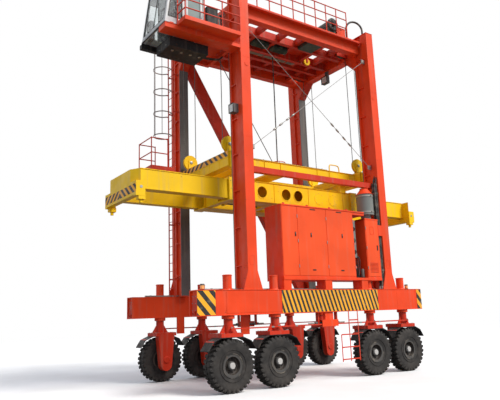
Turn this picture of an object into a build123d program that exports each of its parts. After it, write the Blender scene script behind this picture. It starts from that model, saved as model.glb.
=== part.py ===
from build123d import *
import os
from math import atan2, cos, degrees, radians, sin

os.makedirs("parts", exist_ok=True)

# driving dimensions in millimetres: X along the machine, the cab end is at -X, the engine side is at -Y

# wheels and legs
tyre_radius = 745
tyre_width = 430
tyre_shoulder = 45
tyre_sidewall_inset = 14
rim_radius = 335
rim_dish_depth = 130
rim_flange = 85
rim_web = 60
rim_fit = 0.3
hub_radius = 130
hub_proud = 12
rim_inset = 40
bead_radius = 485
shoulder_radius = 625
sidewall_bulge = 12
hub_inner_extra = 20
spindle_radius = 60
spindle_clearance = 0.08
spindle_end_gap = 5
wheel_outer_x = 3760
wheel_inner_x = 2070
track_half = 2215
leg_gap = 45
leg_thickness = 250
leg_top_half = 310
leg_foot_radius = 200
leg_foot_centre_z = 580
arm_clearance = 40
arm_depth = 110
arm_half_length = 370
kingpin_radius = 135
kingpin_clearance = 0.08
kingpin_engagement = 420
kingpin_end_gap = 20
kingpin_collar_radius = 190
kingpin_collar_depth = 90
gusset_half = 300
gusset_height = 260
gusset_thickness = 40
steer_reach = 190
steer_eye_radius = 40
steer_arm_width = 90
steer_arm_z = 1700
steer_arm_depth = 35
steer_pin_radius = 18
steer_pin_clearance = 0.08
steer_rod_gap = 5
steer_rod_width = 50
steer_rod_depth = 40
steer_box_half = 345
steer_box_entry = 150
steer_box_wall = 10
steer_box_proud = 15
steer_box_depth = 155
steer_box_bottom = 1690
steer_box_height = 210
guard_thickness = 10
guard_taper = 6
guard_points = [(800, 1190), (640, 1420), (370, 1530)]
guard_outer_y = 2430
guard_inner_y = 1985

# sills
sill_front_x = -4900
sill_rear_x = 4620
sill_bottom = 2136
sill_height = 726
sill_width = 430
sill_end_recess = 60
sill_end_rim = 30
strut_cap_radius = 135
strut_cap_heights = [410, 410, 290, 380]
hanger_x = -3050
hanger_size = 280
hanger_plate = 60
hanger_drop = 560

# columns
column_inner_x = 2800
column_width = 350
column_depth = 710
column_top = 12750
column_box_depth = 320
column_web = 210
column_guide_depth = 90
column_rib_first = 720
column_rib_pitch = 1170
column_rib_thickness = 30
base_flare = 170
base_flare_height = 560
base_flare_thickness = 30
lug_radius = 75
lug_offset = 40
lug_proud = 12
lug_z = 10060

# top frame, set down from the columns' tops
column_rise = 330
portal_height = 400
haunch = 580
side_beam_inset = 590
side_beam_width = 280
side_beam_height = 380
deck_thickness = 30
deck_overhang = 210
inner_beam_y = [-950, 0, 560, 1150]
inner_beam_width = 120
inner_beam_lift = 80
cross_member_x = [-2140, -1360, -420, 420, 1420, 2140]
cross_member_width = 160
cross_member_lift = 160
floor_thickness = 30
floor_hatch = [1510, 2050, -840, -70]
sheave_cover_rise = 280
sheave_cover_thickness = 15
walkway_rail_y = 2280
walkway_rail_width = 50
walkway_rail_lift = 180
walkway_rail_height = 60
walkway_bracket_pitch = 600
walkway_bracket_width = 50
rail_height = 1080
rail_radius = 20
rail_post_pitch = 560
near_rail_end_x = 2050
winch_box = [1780, 2230, -1900, -1560, 520]
rail_levels = [0.36, 0.68, 1.0]

# braces
brace_width = 420
brace_depth = 240
brace_lead = 180
stay_radius = 9
stay_y = 2200
stay_offset = 45
stay_trim = 160
stay_top_drop = 380
stay_foot_z = 7290
stay_clamp_radius = 30
stay_clamp_length = 130
stay_clamps = [940, 1180, 1490, 1750]
stay_lug = [90, 30, 150]
strut_height = 190
strut_depth = 180
strut_bottom = 6560
strut_inset = 240

# cab and its platform
cab_inset = 905
cab_foot_height = 45
cab_gap = 1254
cab_length = 1394
cab_half_width = 815
cab_height = 1856
cab_wall = 54
cab_lean = 260
cab_glass = 11
cab_pane_inset = 9
cab_frame = 109
cab_floor_window = 634
side_window = [81, 118, 235, 1448]
rear_window = [452, 814, 1538]
door_from_rear = [688, 90]
door_height = 1720
door_thickness = 36
door_glass = [72, 290, 90]
cantilever_drop = 1471
cantilever_height = 150
cantilever_width = 145
near_cantilever_width = 430
cantilever_lead = 30
hanger_gap = 140
hanger_bracket = [30, 230]
platform_thickness = 36
platform_edge_y = 1357
platform_lead = 389
platform_rail_height = 950
platform_rope_gap = 270
platform_cross = 110
platform_feet = [136, -226]
cab_clearance = 10
platform_rail_levels = [0.36, 0.65, 1.0]
platform_post_pitch = 660
service_box_size = [1357, 905, 302]
service_box_offset = 371
deck_unit = [230, 630, 430, 830, 1265]

# far side ladder and landing
ladder_inset = 360
ladder_width = 420
ladder_rise = 290
ladder_rail = 40
ladder_pitch = 300
ladder_standoff = 200
cage_depth = 700
cage_arm = 80
cage_bottom = 8780
cage_pitch = 880
landing_z = 7400
landing_front_x = -4380
landing_depth = 900
landing_overhang = 290
landing_rail_height = 1150
landing_rail_levels = [0.5, 1.0]
landing_joist = [50, 120]
landing_gap = 60
ladder_rung_radius = 12
ladder_stile = 20
ladder_brackets = [600, 2600, 4238, 6888, 8388]
ladder_bracket = [16, 50]
cage_hoop = [40, 10]
cage_bar = [8, 40]
cage_bars = [120, 180, 240]

# boarding ladder under the engine side sill
boarding_x = [450, 823, 1235]
boarding_bottom = 550
boarding_step_top = 1400
boarding_rail = 36
boarding_rungs = [600, 980, 1380]
boarding_proud = 15
boarding_thickness = 8
boarding_tab = 40
boarding_brace = 300
boarding_bar = 40

# engine housing
housing_front_x = -1820
housing_rear_x = 1340
housing_depth = 850
housing_top = 5560
housing_bottom = 3250
housing_post = 300
housing_sole = 90
housing_post_shift = 45
bay_roof_depth = 130
bay_back_thickness = 60
bay_equipment_box = [220, 120, 620, 700, 300]
bay_rear_x = 1920
cabinet_rear_x = 2590
cabinet_top = 5340
cabinet_depth = 600
silencer_radius = 300
silencer_x = 2350
silencer_y = -2120
silencer_bottom = 5520
silencer_height = 760
silencer_neck = 0.6
silencer_tip = 0.45
silencer_cone = 220
hose_radius = 38
hose_y = [-2355, -2270]
hose_rows = 2
hose_pitch = 84
hose_stand_off = 12
hose_clip_height = 60
hose_clip_reach = 6
hose_top = 6700
hose_clips = [3500, 4800, 6300]
arch_column_y = -2100
arch_foot = [2300, -1900]
arch_rise = 250

# lamps
beacon_x = [-4650, 4000]
beacon_y = 2300
beacon_size = [60, 170]
column_lamp = [200, -2200, -1960, 8430, 8720]
portal_lamp = [-150, 0, -280, 40, -560, -260]
portal_lamp_post = [-20, 60, -200, -40, -420, 0]

# hoist
sheave_x = 2970
sheave_y = 1300
sheave_z = 7650
sheave_radius = 275
rope_pitch_radius = 235
rope_radius = 13
sheave_groove_gap = 0.3
sheave_thickness = 90
sheave_pin_radius = 40
cheek_gap = 5
cheek_thickness = 25
cheek_half = 110
top_sheave_x = 2500
top_sheave_lift = 250
anchor_lift = 80
anchor_size = 120
anchor_reach = 30
drum_radius = 200
drum_x = 1500
drum_rise = 500
drum_outer_y = 2000
drum_length = 900
drum_flange_radius = 250
drum_flange = 50
drum_foot_half = 160
drum_foot_width = 80
drum_foot_inset = 60
gearbox = [520, 1180, -1660, -1010, -340, 300]
motor_radius = 150
motor_length = 640
motor_drop = 210
motor_y = -450
motor_x = [-1210, -310]
motor_hanger = [280, 120]
cable_radius = 22
cable_x = 60
festoon_top_x = -2700
festoon_drop = 320
festoon_radius = 15
festoon_inset = 100
basket_radius = 300
basket_height = 420
basket_wire = 12
basket_rings = 3
basket_bars = 8
basket_floor = 12

# head block
head_bottom = 6860
head_height = 500
head_rail_height = 450
head_outer_x = 3160
head_beam_width = 320
head_rail_y = 1250
head_rail_width = 160
guide_gap = 12
guide_shoe = 180
head_leg_x = 2300
head_leg_half = 150
head_leg_y = 900
head_leg_half_y = 200
head_cross_height = 200
head_slot_gap = 10
shoe_inset = 60
basket_bed = [380, 60]
cheek_foot = 20
cheek_rise = 70

# spreader
spreader_bottom = 5860
spreader_height = 700
spreader_web_y = 1150
spreader_tube_width = 700
spreader_tube_wall = 20
collar_outer_x = 2920
collar_length = 330
collar_proud = 30
arm_width = 290
arm_height = 646
arm_gap = 20
arm_overlap = 800
arm_pad_length = 300
arm_pad_inset = 30
slide_gap = 0.3
end_beam_outer_x = 6190
end_beam_width = 190
end_beam_bottom = 5690
end_beam_height = 830
end_chamfer_y = 800
container_spacing_x = 11985
container_spacing_y = 2259
corner_pad = 300
pad_face_z = 5560
corner_block_height = 155
corner_width = 155
corner_shift = 17
corner_drop = 30
corner_plate_height = 450
corner_clearance = 10
pad_half_x = 110
pad_half_y = 90
twistlock_radius = 52
twistlock_drop = 100
web_hole_radius = 200
web_holes_x = [-1570, -530, 20]
web_cover_radius = 220
web_cover_proud = 6
web_covers_x = [1010, 1700]
cross_beam_x = [-2720, -880, 1120, 2720]
cross_beam_width = 240
cross_beam_drop = 100

# values that follow
sill_top = sill_bottom + sill_height
sill_outer_y = track_half + sill_width / 2
sill_inner_y = track_half - sill_width / 2
column_outer_y = sill_outer_y
column_outer_x = column_inner_x + column_width
column_inner_y = column_outer_y - column_depth
column_mid_x = (column_inner_x + column_outer_x) / 2
steer_box_outer = sill_outer_y + steer_box_proud
steer_box_inner = steer_box_outer - steer_box_depth
portal_top = column_top - column_rise
portal_bottom = portal_top - portal_height
side_beam_top = portal_bottom + side_beam_height
deck_top = side_beam_top + deck_thickness
side_beam_centre_y = column_outer_y - side_beam_inset
side_beam_outer_y = side_beam_centre_y + side_beam_width / 2
side_beam_inner_y = side_beam_centre_y - side_beam_width / 2
inner_beam_bottom = portal_bottom + inner_beam_lift
cantilever_bottom = portal_bottom - cantilever_drop
cantilever_top = cantilever_bottom + cantilever_height
cab_y = cab_inset - column_outer_y
cantilever_y = cab_inset - cantilever_width / 2
platform_top = cantilever_top + platform_thickness
cab_floor_z = cantilever_top + cab_foot_height
cab_rear_x = -column_outer_x - cab_gap
cab_front_x = cab_rear_x - cab_length
cantilever_front_x = cab_front_x - cantilever_lead
platform_front_x = cab_front_x + platform_lead
stay_top_z = portal_bottom - stay_top_drop
top_sheave_z = inner_beam_bottom + top_sheave_lift
anchor_z = portal_bottom + anchor_lift
drum_z = deck_top + drum_rise
motor_z = side_beam_top - motor_drop
festoon_top_z = portal_bottom - festoon_drop
tyre_inner_y = track_half - tyre_width / 2
tyre_outer_y = track_half + tyre_width / 2
leg_outer_y = tyre_inner_y - leg_gap
leg_inner_y = leg_outer_y - leg_thickness
arm_bottom = 2 * tyre_radius + arm_clearance
ladder_y = column_outer_y - ladder_inset
landing_outer_y = column_outer_y + landing_overhang
arm_top = arm_bottom + arm_depth
steer_rod_z = steer_arm_z + steer_arm_depth + steer_rod_gap
head_top = head_bottom + head_height
basket_bottom = head_bottom + head_rail_height
tube_inner_half = spreader_height / 2 - spreader_tube_wall
corner_half = corner_width / 2 - corner_shift
corner_bottom = end_beam_bottom - corner_drop
wheels = [("front", -wheel_outer_x), ("front_inner", -wheel_inner_x),
          ("rear_inner", wheel_inner_x), ("rear", wheel_outer_x)]


def block(x0, x1, y0, y1, z0, z1):
    size = (abs(x1 - x0), abs(y1 - y0), abs(z1 - z0))
    return Pos((x0 + x1) / 2, (y0 + y1) / 2, (z0 + z1) / 2) * Box(*size)


def upright(x, y, z0, z1, radius):
    return Pos(x, y, (z0 + z1) / 2) * Cylinder(radius, z1 - z0)


def across(x, z, y0, y1, radius):
    return Pos(x, (y0 + y1) / 2, z) * Rot(90, 0, 0) * Cylinder(radius, abs(y1 - y0))


def along(y, z, x0, x1, radius):
    return Pos((x0 + x1) / 2, y, z) * Rot(0, 90, 0) * Cylinder(radius, abs(x1 - x0))


def far(shape):
    return mirror(shape, Plane.XZ)


def rear(shape):
    return mirror(shape, Plane.YZ)


def group(*shapes):
    solids = []
    for shape in shapes:
        solids.extend(shape.solids())
    return Compound(children=solids)


def side_plate(points, y0, y1):
    # a plate in the XZ plane between two distances across
    face = make_face(Polyline(*points, close=True))
    plate = extrude(Plane.XZ * face, amount=y1 - y0)
    return Pos(0, y1, 0) * plate


def cross_plate(points, x0, x1):
    # a plate in the YZ plane between two distances along
    face = make_face(Polyline(*points, close=True))
    plate = extrude(Plane.YZ * face, amount=x1 - x0)
    return Pos(x0, 0, 0) * plate


def save(shape, name):
    export_step(shape, f"parts/{name}.step")


# sills: closed box girders with a recessed end, bored for the kingpins, with a cap over each kingpin
def near_sill():
    girder = block(sill_front_x, sill_rear_x, -sill_outer_y, -sill_inner_y, sill_bottom, sill_top)
    for end, step in ((sill_front_x, 1), (sill_rear_x, -1)):
        girder -= block(end, end + step * sill_end_recess,
                        -sill_outer_y + sill_end_rim, -sill_inner_y - sill_end_rim,
                        sill_bottom + sill_end_rim, sill_top - sill_end_rim)
    collar_bottom = sill_bottom - kingpin_collar_depth
    bore_top = sill_bottom + kingpin_engagement + kingpin_end_gap
    for (name, x), cap in zip(wheels, strut_cap_heights):
        girder += upright(x, -track_half, sill_top, sill_top + cap, strut_cap_radius)
        girder += upright(x, -track_half, collar_bottom, sill_bottom, kingpin_collar_radius)
        girder -= upright(x, -track_half, collar_bottom - 1, bore_top, kingpin_radius + kingpin_clearance)
    girder += block(hanger_x - hanger_size / 2, hanger_x + hanger_size / 2, -sill_inner_y - hanger_plate,
                    -sill_inner_y, sill_bottom - hanger_drop, sill_bottom)
    # the steering box hangs under the middle, open at both ends for the rods
    top = steer_box_bottom + steer_box_height
    box = block(-steer_box_half, steer_box_half, -steer_box_outer, -steer_box_inner, steer_box_bottom, top)
    wall = steer_box_wall
    box -= block(-steer_box_half - 1, steer_box_half + 1, -steer_box_outer + wall, -steer_box_inner - wall,
                 steer_box_bottom + wall, top - wall)
    neck = block(-steer_box_half / 2, steer_box_half / 2, -sill_outer_y + sill_end_rim, -steer_box_inner, top,
                 sill_bottom)
    return girder + box + neck


sill = near_sill()
save(group(sill, far(sill)), "sills")


# columns: an outboard box, a narrower web with ribs and the guide face inboard, flared at the foot
def column():
    x0, x1 = -column_outer_x, -column_inner_x
    y_out = -column_outer_y
    y_box = y_out + column_box_depth
    y_in = -column_inner_y
    shaft = block(x0, x1, y_out, y_box, sill_top, column_top)
    web_x0 = (x0 + x1 - column_web) / 2
    shaft += block(web_x0, web_x0 + column_web, y_box, y_in - column_guide_depth, sill_top, column_top)
    shaft += block(x0, x1, y_in - column_guide_depth, y_in, sill_top, column_top)
    rib_z = sill_top + column_rib_first
    while rib_z < portal_bottom:
        shaft += block(x0, x1, y_box, y_in - column_guide_depth, rib_z, rib_z + column_rib_thickness)
        rib_z += column_rib_pitch
    for edge, step in ((x0, -1), (x1, 1)):
        foot = [(edge, sill_top), (edge + step * base_flare, sill_top), (edge, sill_top + base_flare_height)]
        shaft += side_plate(foot, y_out, y_out + base_flare_thickness)
    shaft += across((x0 + x1) / 2 + lug_offset, lug_z, y_out - lug_proud, y_out + lug_proud, lug_radius)
    return shaft


front_near = column()
rear_near = rear(front_near)
save(group(front_near, far(front_near), rear_near, far(rear_near)), "columns")


# portal beams across each end, with haunches down to the columns
def portal():
    beam = block(-column_outer_x, -column_inner_x, -column_inner_y, column_inner_y, portal_bottom, portal_top)
    for side in (-1, 1):
        corner = side * column_inner_y
        points = [(corner, portal_bottom), (corner, portal_bottom - haunch),
                  (corner - side * haunch, portal_bottom)]
        beam += cross_plate(points, -column_outer_x, -column_inner_x)
    return beam


# side beams between the columns; the deck plate overhangs outboard
def side_beam():
    beam = block(-column_inner_x, column_inner_x, -side_beam_outer_y, -side_beam_inner_y, portal_bottom,
                 side_beam_top)
    deck_edge = side_beam_outer_y + deck_overhang
    return beam + block(-column_inner_x, column_inner_x, -deck_edge, -side_beam_inner_y, side_beam_top,
                        deck_top)


# the open walkway hangs on brackets along the far side beam
def walkway():
    z = portal_bottom + walkway_rail_lift
    rail = block(-column_inner_x, column_inner_x, walkway_rail_y - walkway_rail_width, walkway_rail_y, z,
                 z + walkway_rail_height)
    count = int(2 * column_inner_x / walkway_bracket_pitch)
    for i in range(count + 1):
        x = -column_inner_x + (i + 0.5) * 2 * column_inner_x / (count + 1)
        rail += block(x - walkway_bracket_width / 2, x + walkway_bracket_width / 2, side_beam_outer_y,
                      walkway_rail_y - walkway_rail_width, z, z + walkway_rail_height)
    return rail


box_front, box_rear, box_outer, box_inner, box_height = winch_box
near_beam = side_beam()
near_beam += block(box_front, box_rear, box_outer, box_inner, side_beam_top, deck_top + box_height)
save(group(portal(), rear(portal()), near_beam, far(side_beam()) + walkway()), "top_frame")


# inner beams, cross members and the machinery floor with its hatch
def top_grid():
    grid = None
    for y in inner_beam_y:
        beam = block(-column_inner_x, column_inner_x, y - inner_beam_width / 2, y + inner_beam_width / 2,
                     inner_beam_bottom, side_beam_top)
        grid = beam if grid is None else grid + beam
    for x in cross_member_x:
        grid += block(x - cross_member_width / 2, x + cross_member_width / 2, -side_beam_inner_y,
                      side_beam_inner_y, portal_bottom + cross_member_lift, side_beam_top)
    sheave_bay = cross_member_x[-1] + cross_member_width / 2
    floor_bottom = side_beam_top - floor_thickness
    floor = block(-sheave_bay, sheave_bay, inner_beam_y[0], side_beam_inner_y, floor_bottom, side_beam_top)
    x0, x1, y0, y1 = floor_hatch
    floor -= block(x0, x1, y0, y1, floor_bottom - 1, side_beam_top + 1)
    for side in (-1, 1):
        floor += block(side * sheave_bay, side * column_inner_x, inner_beam_y[0], inner_beam_y[-1],
                       floor_bottom, side_beam_top)
    # cheeks and covers over the rope sheaves
    cover_z = side_beam_top + sheave_cover_rise
    half = sheave_thickness / 2 + cheek_gap + cheek_thickness
    for sx in (-1, 1):
        for sy in (-1, 1):
            for side in (-1, 1):
                y = sy * sheave_y + side * (sheave_thickness / 2 + cheek_gap)
                floor += block(sx * sheave_bay, sx * column_inner_x, y, y + side * cheek_thickness,
                               inner_beam_bottom, cover_z)
            floor += block(sx * (sheave_bay - cross_member_width), sx * column_inner_x, sy * sheave_y - half,
                           sy * sheave_y + half, cover_z, cover_z + sheave_cover_thickness)
    return grid + floor


save(top_grid(), "top_grid")


# rails of round tube: posts and levels between two points
def rail_run(start, end, z, height, levels, pitch):
    (x0, y0), (x1, y1) = start, end
    length = ((x1 - x0) ** 2 + (y1 - y0) ** 2) ** 0.5
    count = max(1, round(length / pitch))
    run = None
    for i in range(count + 1):
        t = i / count
        post = upright(x0 + (x1 - x0) * t, y0 + (y1 - y0) * t, z, z + height, rail_radius)
        run = post if run is None else run + post
    for level in levels:
        top = z + height * level - (rail_radius if level == 1 else 0)
        if x0 == x1:
            run += across(x0, top, y0, y1, rail_radius)
        else:
            run += along(y0, top, x0, x1, rail_radius)
    return run


rail_y = side_beam_outer_y + deck_overhang - rail_radius
rail_x = column_inner_x - 2 * rail_radius
near_rail = rail_run((-rail_x, -rail_y), (near_rail_end_x, -rail_y), deck_top, rail_height, rail_levels,
                     rail_post_pitch)
far_rail = rail_run((-rail_x, rail_y), (rail_x, rail_y), deck_top, rail_height, rail_levels, rail_post_pitch)


# bracing: a full diagonal on the far side, a level strut on the engine side
def diagonal():
    y0 = (column_outer_y + column_inner_y - brace_depth) / 2
    run_x = 2 * column_inner_x
    run_z = portal_bottom + brace_lead - sill_top
    angle = degrees(atan2(run_z, run_x))
    band = Box((run_x ** 2 + run_z ** 2) ** 0.5 + 2 * brace_width, brace_depth, brace_width)
    band = Pos(0, y0 + brace_depth / 2, sill_top + run_z / 2) * Rot(0, angle, 0) * band
    return band & block(-column_inner_x, column_inner_x, y0, y0 + brace_depth, sill_top, portal_bottom)


strut_y = -column_outer_y + strut_inset
side_strut = block(-column_inner_x, column_inner_x, strut_y, strut_y + strut_depth, strut_bottom,
                   strut_bottom + strut_height)


# two crossed stay rods on the engine side, each with its adjusters and a lug at both ends
def stay(direction, y):
    run_x = 2 * column_inner_x
    run_z = stay_top_z - stay_foot_z
    length = (run_x ** 2 + run_z ** 2) ** 0.5
    slope = -direction * degrees(atan2(run_z, run_x))
    rod = Rot(0, 90, 0) * Cylinder(stay_radius, length - stay_trim)
    for x in stay_clamps:
        along_rod = -direction * x * length / run_x
        rod += Pos(along_rod, 0, 0) * Rot(0, 90, 0) * Cylinder(stay_clamp_radius, stay_clamp_length)
    rod = Pos(0, y, (stay_top_z + stay_foot_z) / 2) * Rot(0, slope, 0) * rod
    lug_x, lug_y, lug_height = stay_lug
    for side in (-1, 1):
        upper = side == direction
        z = stay_top_z if upper else stay_foot_z
        z += lug_x * run_z / run_x * (-1 if upper else 1)
        rod += block(side * column_inner_x, side * (column_inner_x - 2 * lug_x), y - lug_y / 2, y + lug_y / 2,
                     z - lug_height / 2, z + lug_height / 2)
    return rod


near_stays = [stay(1, -stay_y - stay_offset), stay(-1, -stay_y + stay_offset)]
save(group(diagonal(), side_strut, *near_stays), "bracing")


# cab: a hollow shell with window openings and a front that leans back
def cab_front(z):
    return cab_front_x + cab_lean * (z - cab_floor_z) / cab_height


def cab_outline(inset):
    z0, z1 = cab_floor_z + inset, cab_floor_z + cab_height - inset
    return [(cab_front(z0) + inset, z0), (cab_rear_x - inset, z0), (cab_rear_x - inset, z1),
            (cab_front(z1) + inset, z1)]


def front_slab(near, far):
    # a slab parallel to the leaning front, between the frame's foot and head
    z0, z1 = cab_floor_z + cab_frame, cab_floor_z + cab_height - cab_frame
    return [(cab_front(z0) + near, z0), (cab_front(z0) + far, z0), (cab_front(z1) + far, z1),
            (cab_front(z1) + near, z1)]


def side_window_outline():
    front_gap, door_gap, low, high = side_window
    x_rear = cab_rear_x - door_from_rear[0] - door_gap
    z0, z1 = cab_floor_z + low, cab_floor_z + high
    return [(cab_front(z0) + front_gap, z0), (x_rear, z0), (x_rear, z1), (cab_front(z1) + front_gap, z1)]


def cab_shell():
    half = cab_half_width
    inner = half - cab_wall
    shell = side_plate(cab_outline(0), -half, half)
    shell -= side_plate(cab_outline(cab_wall), -inner, inner)
    shell -= side_plate(front_slab(-cab_wall, cab_frame), -inner, inner)
    shell -= block(cab_front_x + cab_wall, cab_front_x + cab_floor_window, -inner, inner, cab_floor_z - 1,
                   cab_floor_z + cab_wall + 1)
    for side in (-1, 1):
        wall = side * (half - cab_wall / 2)
        shell -= side_plate(side_window_outline(), wall - cab_wall, wall + cab_wall)
    door_front, door_rear = door_from_rear
    shell -= block(cab_rear_x - door_front, cab_rear_x - door_rear, -half - 1, -inner + 1,
                   cab_floor_z + cab_wall, cab_floor_z + door_height)
    window_half, low, high = rear_window
    shell -= block(cab_rear_x - cab_wall - 1, cab_rear_x + 1, -window_half, window_half, cab_floor_z + low,
                   cab_floor_z + high)
    return shell


save(Pos(0, cab_y, 0) * cab_shell(), "cab_shell")


def cab_windows():
    half = cab_half_width
    inner = half - cab_wall
    panes = [side_plate(front_slab(cab_pane_inset, cab_pane_inset + cab_glass), -inner, inner)]
    z = cab_floor_z + cab_pane_inset
    panes.append(block(cab_front_x + cab_wall, cab_front_x + cab_floor_window, -inner, inner, z, z + cab_glass))
    for side in (-1, 1):
        y = side * (half - cab_wall / 2)
        panes.append(side_plate(side_window_outline(), y - cab_glass / 2, y + cab_glass / 2))
    window_half, low, high = rear_window
    x = cab_rear_x - cab_wall / 3
    panes.append(block(x - cab_glass, x, -window_half, window_half, cab_floor_z + low, cab_floor_z + high))
    return group(*panes)


save(Pos(0, cab_y, 0) * cab_windows(), "cab_windows")


def cab_door():
    x0, x1 = cab_rear_x - door_from_rear[0], cab_rear_x - door_from_rear[1]
    z0, z1 = cab_floor_z + cab_wall, cab_floor_z + door_height
    half = cab_half_width
    margin, sill_height_inside, head = door_glass
    door = block(x0, x1, -half, -half + door_thickness, z0, z1)
    hole = (x0 + margin, x1 - margin, z0 + sill_height_inside, z1 - head)
    door -= block(hole[0], hole[1], -half - 1, -half + door_thickness + 1, hole[2], hole[3])
    middle = -half + door_thickness / 2
    return door + block(hole[0], hole[1], middle - cab_glass / 2, middle + cab_glass / 2, hole[2], hole[3])


save(Pos(0, cab_y, 0) * cab_door(), "cab_door")


# platform, built about the cab's middle: one beam butted on the near front column, one hung from the portal,
# and a deck beside and behind the cab
def cab_platform():
    top = cantilever_top
    hanger_x = -column_outer_x - hanger_gap
    inner_y0, inner_y1 = cantilever_y - cantilever_width / 2, cantilever_y + cantilever_width / 2
    frame = block(cantilever_front_x, -column_outer_x, -inner_y1, -inner_y1 + near_cantilever_width,
                  cantilever_bottom, top)
    frame += block(cantilever_front_x, hanger_x, inner_y0, inner_y1, cantilever_bottom, top)
    for x in (cab_rear_x, hanger_x - platform_cross):
        frame += block(x, x + platform_cross, -cantilever_y, cantilever_y, cantilever_bottom, top)
    low, high = hanger_bracket
    frame += block(hanger_x - platform_cross, hanger_x, inner_y0, inner_y1, top, portal_bottom + high)
    frame += block(hanger_x, -column_outer_x, inner_y0, inner_y1, portal_bottom + low, portal_bottom + high)
    for x in (cab_front_x + platform_feet[0], cab_rear_x + platform_feet[1]):
        for y in (-cantilever_y, cantilever_y):
            frame += block(x, x + platform_cross, y - cantilever_width / 2, y + cantilever_width / 2, top,
                           cab_floor_z)
    deck_rear_x = -column_outer_x - platform_rope_gap
    cab_side = cab_half_width + cab_clearance
    near_deck = block(platform_front_x, deck_rear_x, -platform_edge_y, -cab_side, top, platform_top)
    rear_deck = block(cab_rear_x + cab_clearance, deck_rear_x, -cab_side, inner_y1, top, platform_top)
    return frame + near_deck + rear_deck


save(Pos(0, cab_y, 0) * cab_platform(), "cab_platform")


def platform_rails():
    z = platform_top
    edge = -platform_edge_y + rail_radius
    front = platform_front_x + rail_radius
    back = -column_outer_x - platform_rope_gap - rail_radius
    run = rail_run((front, edge), (back, edge), z, platform_rail_height, platform_rail_levels,
                   platform_post_pitch)
    run += rail_run((front, edge), (front, -cab_half_width - 4 * cab_clearance), z, platform_rail_height,
                    platform_rail_levels, platform_post_pitch)
    return run


save(group(near_rail, far_rail, Pos(0, cab_y, 0) * platform_rails()), "handrails")


# the service box under the cab and the tall unit on the deck behind the cab door
def service_boxes():
    length, width, height = service_box_size
    middle = cab_rear_x - service_box_offset
    under = block(middle - length / 2, middle + length / 2, -width / 2, width / 2, cantilever_bottom - height,
                  cantilever_bottom)
    rear_gap, front_gap, side_gap, side_reach, rise = deck_unit
    deck_rear_x = -column_outer_x - platform_rope_gap
    side = -cab_half_width + cab_clearance
    unit = block(deck_rear_x - front_gap, deck_rear_x - rear_gap, side + side_gap, side + side_reach,
                 platform_top, platform_top + rise)
    return group(Pos(0, cab_y, 0) * under, Pos(0, cab_y, 0) * unit)


save(service_boxes(), "cab_service_box")


# ladder up the far front column: stiles, rungs and a cage of hoops
def far_ladder():
    x = -column_outer_x - ladder_standoff
    top = deck_top + ladder_rise
    sides = (ladder_y - ladder_width / 2, ladder_y + ladder_width / 2)
    ladder = None
    for y in sides:
        stile = block(x - ladder_rail / 2, x + ladder_rail / 2, y - ladder_stile / 2, y + ladder_stile / 2,
                      sill_top, top)
        ladder = stile if ladder is None else ladder + stile
    z = sill_top + ladder_pitch
    while z < top - 3 * ladder_pitch:
        ladder += across(x, z, sides[0], sides[1], ladder_rung_radius)
        z += ladder_pitch
    bracket_width, bracket_height = ladder_bracket
    for z in ladder_brackets:
        for y in sides:
            ladder += block(x, -column_outer_x, y - bracket_width / 2, y + bracket_width / 2, sill_top + z,
                            sill_top + z + bracket_height)
    # the cage: hoops and flat bars
    radius = cage_depth / 2
    centre = x - radius
    hoop_height, hoop_thickness = cage_hoop
    z = cage_bottom
    while z < top - cage_pitch / 3:
        hoop = Cylinder(radius, hoop_height) - Cylinder(radius - hoop_thickness, hoop_height + 2)
        hoop = Pos(centre, ladder_y, z) * hoop
        hoop -= block(x - cage_arm, x + radius, sides[0], sides[1], z - hoop_height, z + hoop_height)
        for y in sides:
            hoop += block(x - cage_arm, x, y - ladder_stile / 2, y + ladder_stile / 2, z - hoop_height / 2,
                          z + hoop_height / 2)
        ladder += hoop
        last_hoop = z
        z += cage_pitch
    bar_thickness, bar_width = cage_bar
    for angle in cage_bars:
        px = centre + (radius - bar_thickness) * cos(radians(angle))
        py = ladder_y + (radius - bar_thickness) * sin(radians(angle))
        ladder += block(px - bar_thickness / 2, px + bar_thickness / 2, py - bar_width / 2, py + bar_width / 2,
                        cage_bottom - hoop_height / 2, last_hoop + hoop_height / 2)
    return ladder


# landing beside the ladder, with rails on three sides
def landing():
    y0, y1 = ladder_y - landing_depth / 2, landing_outer_y
    x1 = -column_outer_x - ladder_standoff - landing_gap
    deck = block(landing_front_x, x1, y0, y1, landing_z - platform_thickness, landing_z)
    joist_width, joist_height = landing_joist
    joists = [(y0, -column_outer_x), (column_outer_y - joist_width, -column_outer_x), (y1 - joist_width, x1)]
    for y, end_x in joists:
        deck += block(landing_front_x, end_x, y, y + joist_width,
                      landing_z - platform_thickness - joist_height, landing_z - platform_thickness)
    front = landing_front_x + rail_radius
    back = x1 - 5 * landing_gap
    for y in (y0 + rail_radius, y1 - rail_radius):
        deck += rail_run((front, y), (back, y), landing_z, landing_rail_height, landing_rail_levels,
                         rail_post_pitch)
    deck += rail_run((front, y0 + rail_radius), (front, y1 - rail_radius), landing_z, landing_rail_height,
                     landing_rail_levels, landing_depth)
    return deck


# boarding ladder of flat bar hung from the engine side sill's outer face, outboard of the steering rod
def boarding_ladder():
    y0 = -sill_outer_y - boarding_proud
    y1 = y0 + boarding_thickness
    ladder = None
    for i, x in enumerate(boarding_x):
        x0, x1 = x - boarding_rail / 2, x + boarding_rail / 2
        top = boarding_step_top if i == 0 else sill_bottom + boarding_tab
        stile = block(x0, x1, y0, y1, boarding_bottom, top)
        ladder = stile if ladder is None else ladder + stile
        if i > 0:
            ladder += block(x0, x1, y0, -sill_outer_y, sill_bottom, top)
    for z in boarding_rungs:
        ladder += block(boarding_x[0], boarding_x[-1], y0, y1, z, z + boarding_bar)
    z = sill_bottom - boarding_brace
    ladder += block(boarding_x[1], boarding_x[-1], y0, y1, z, z + boarding_bar)
    return ladder


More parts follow.
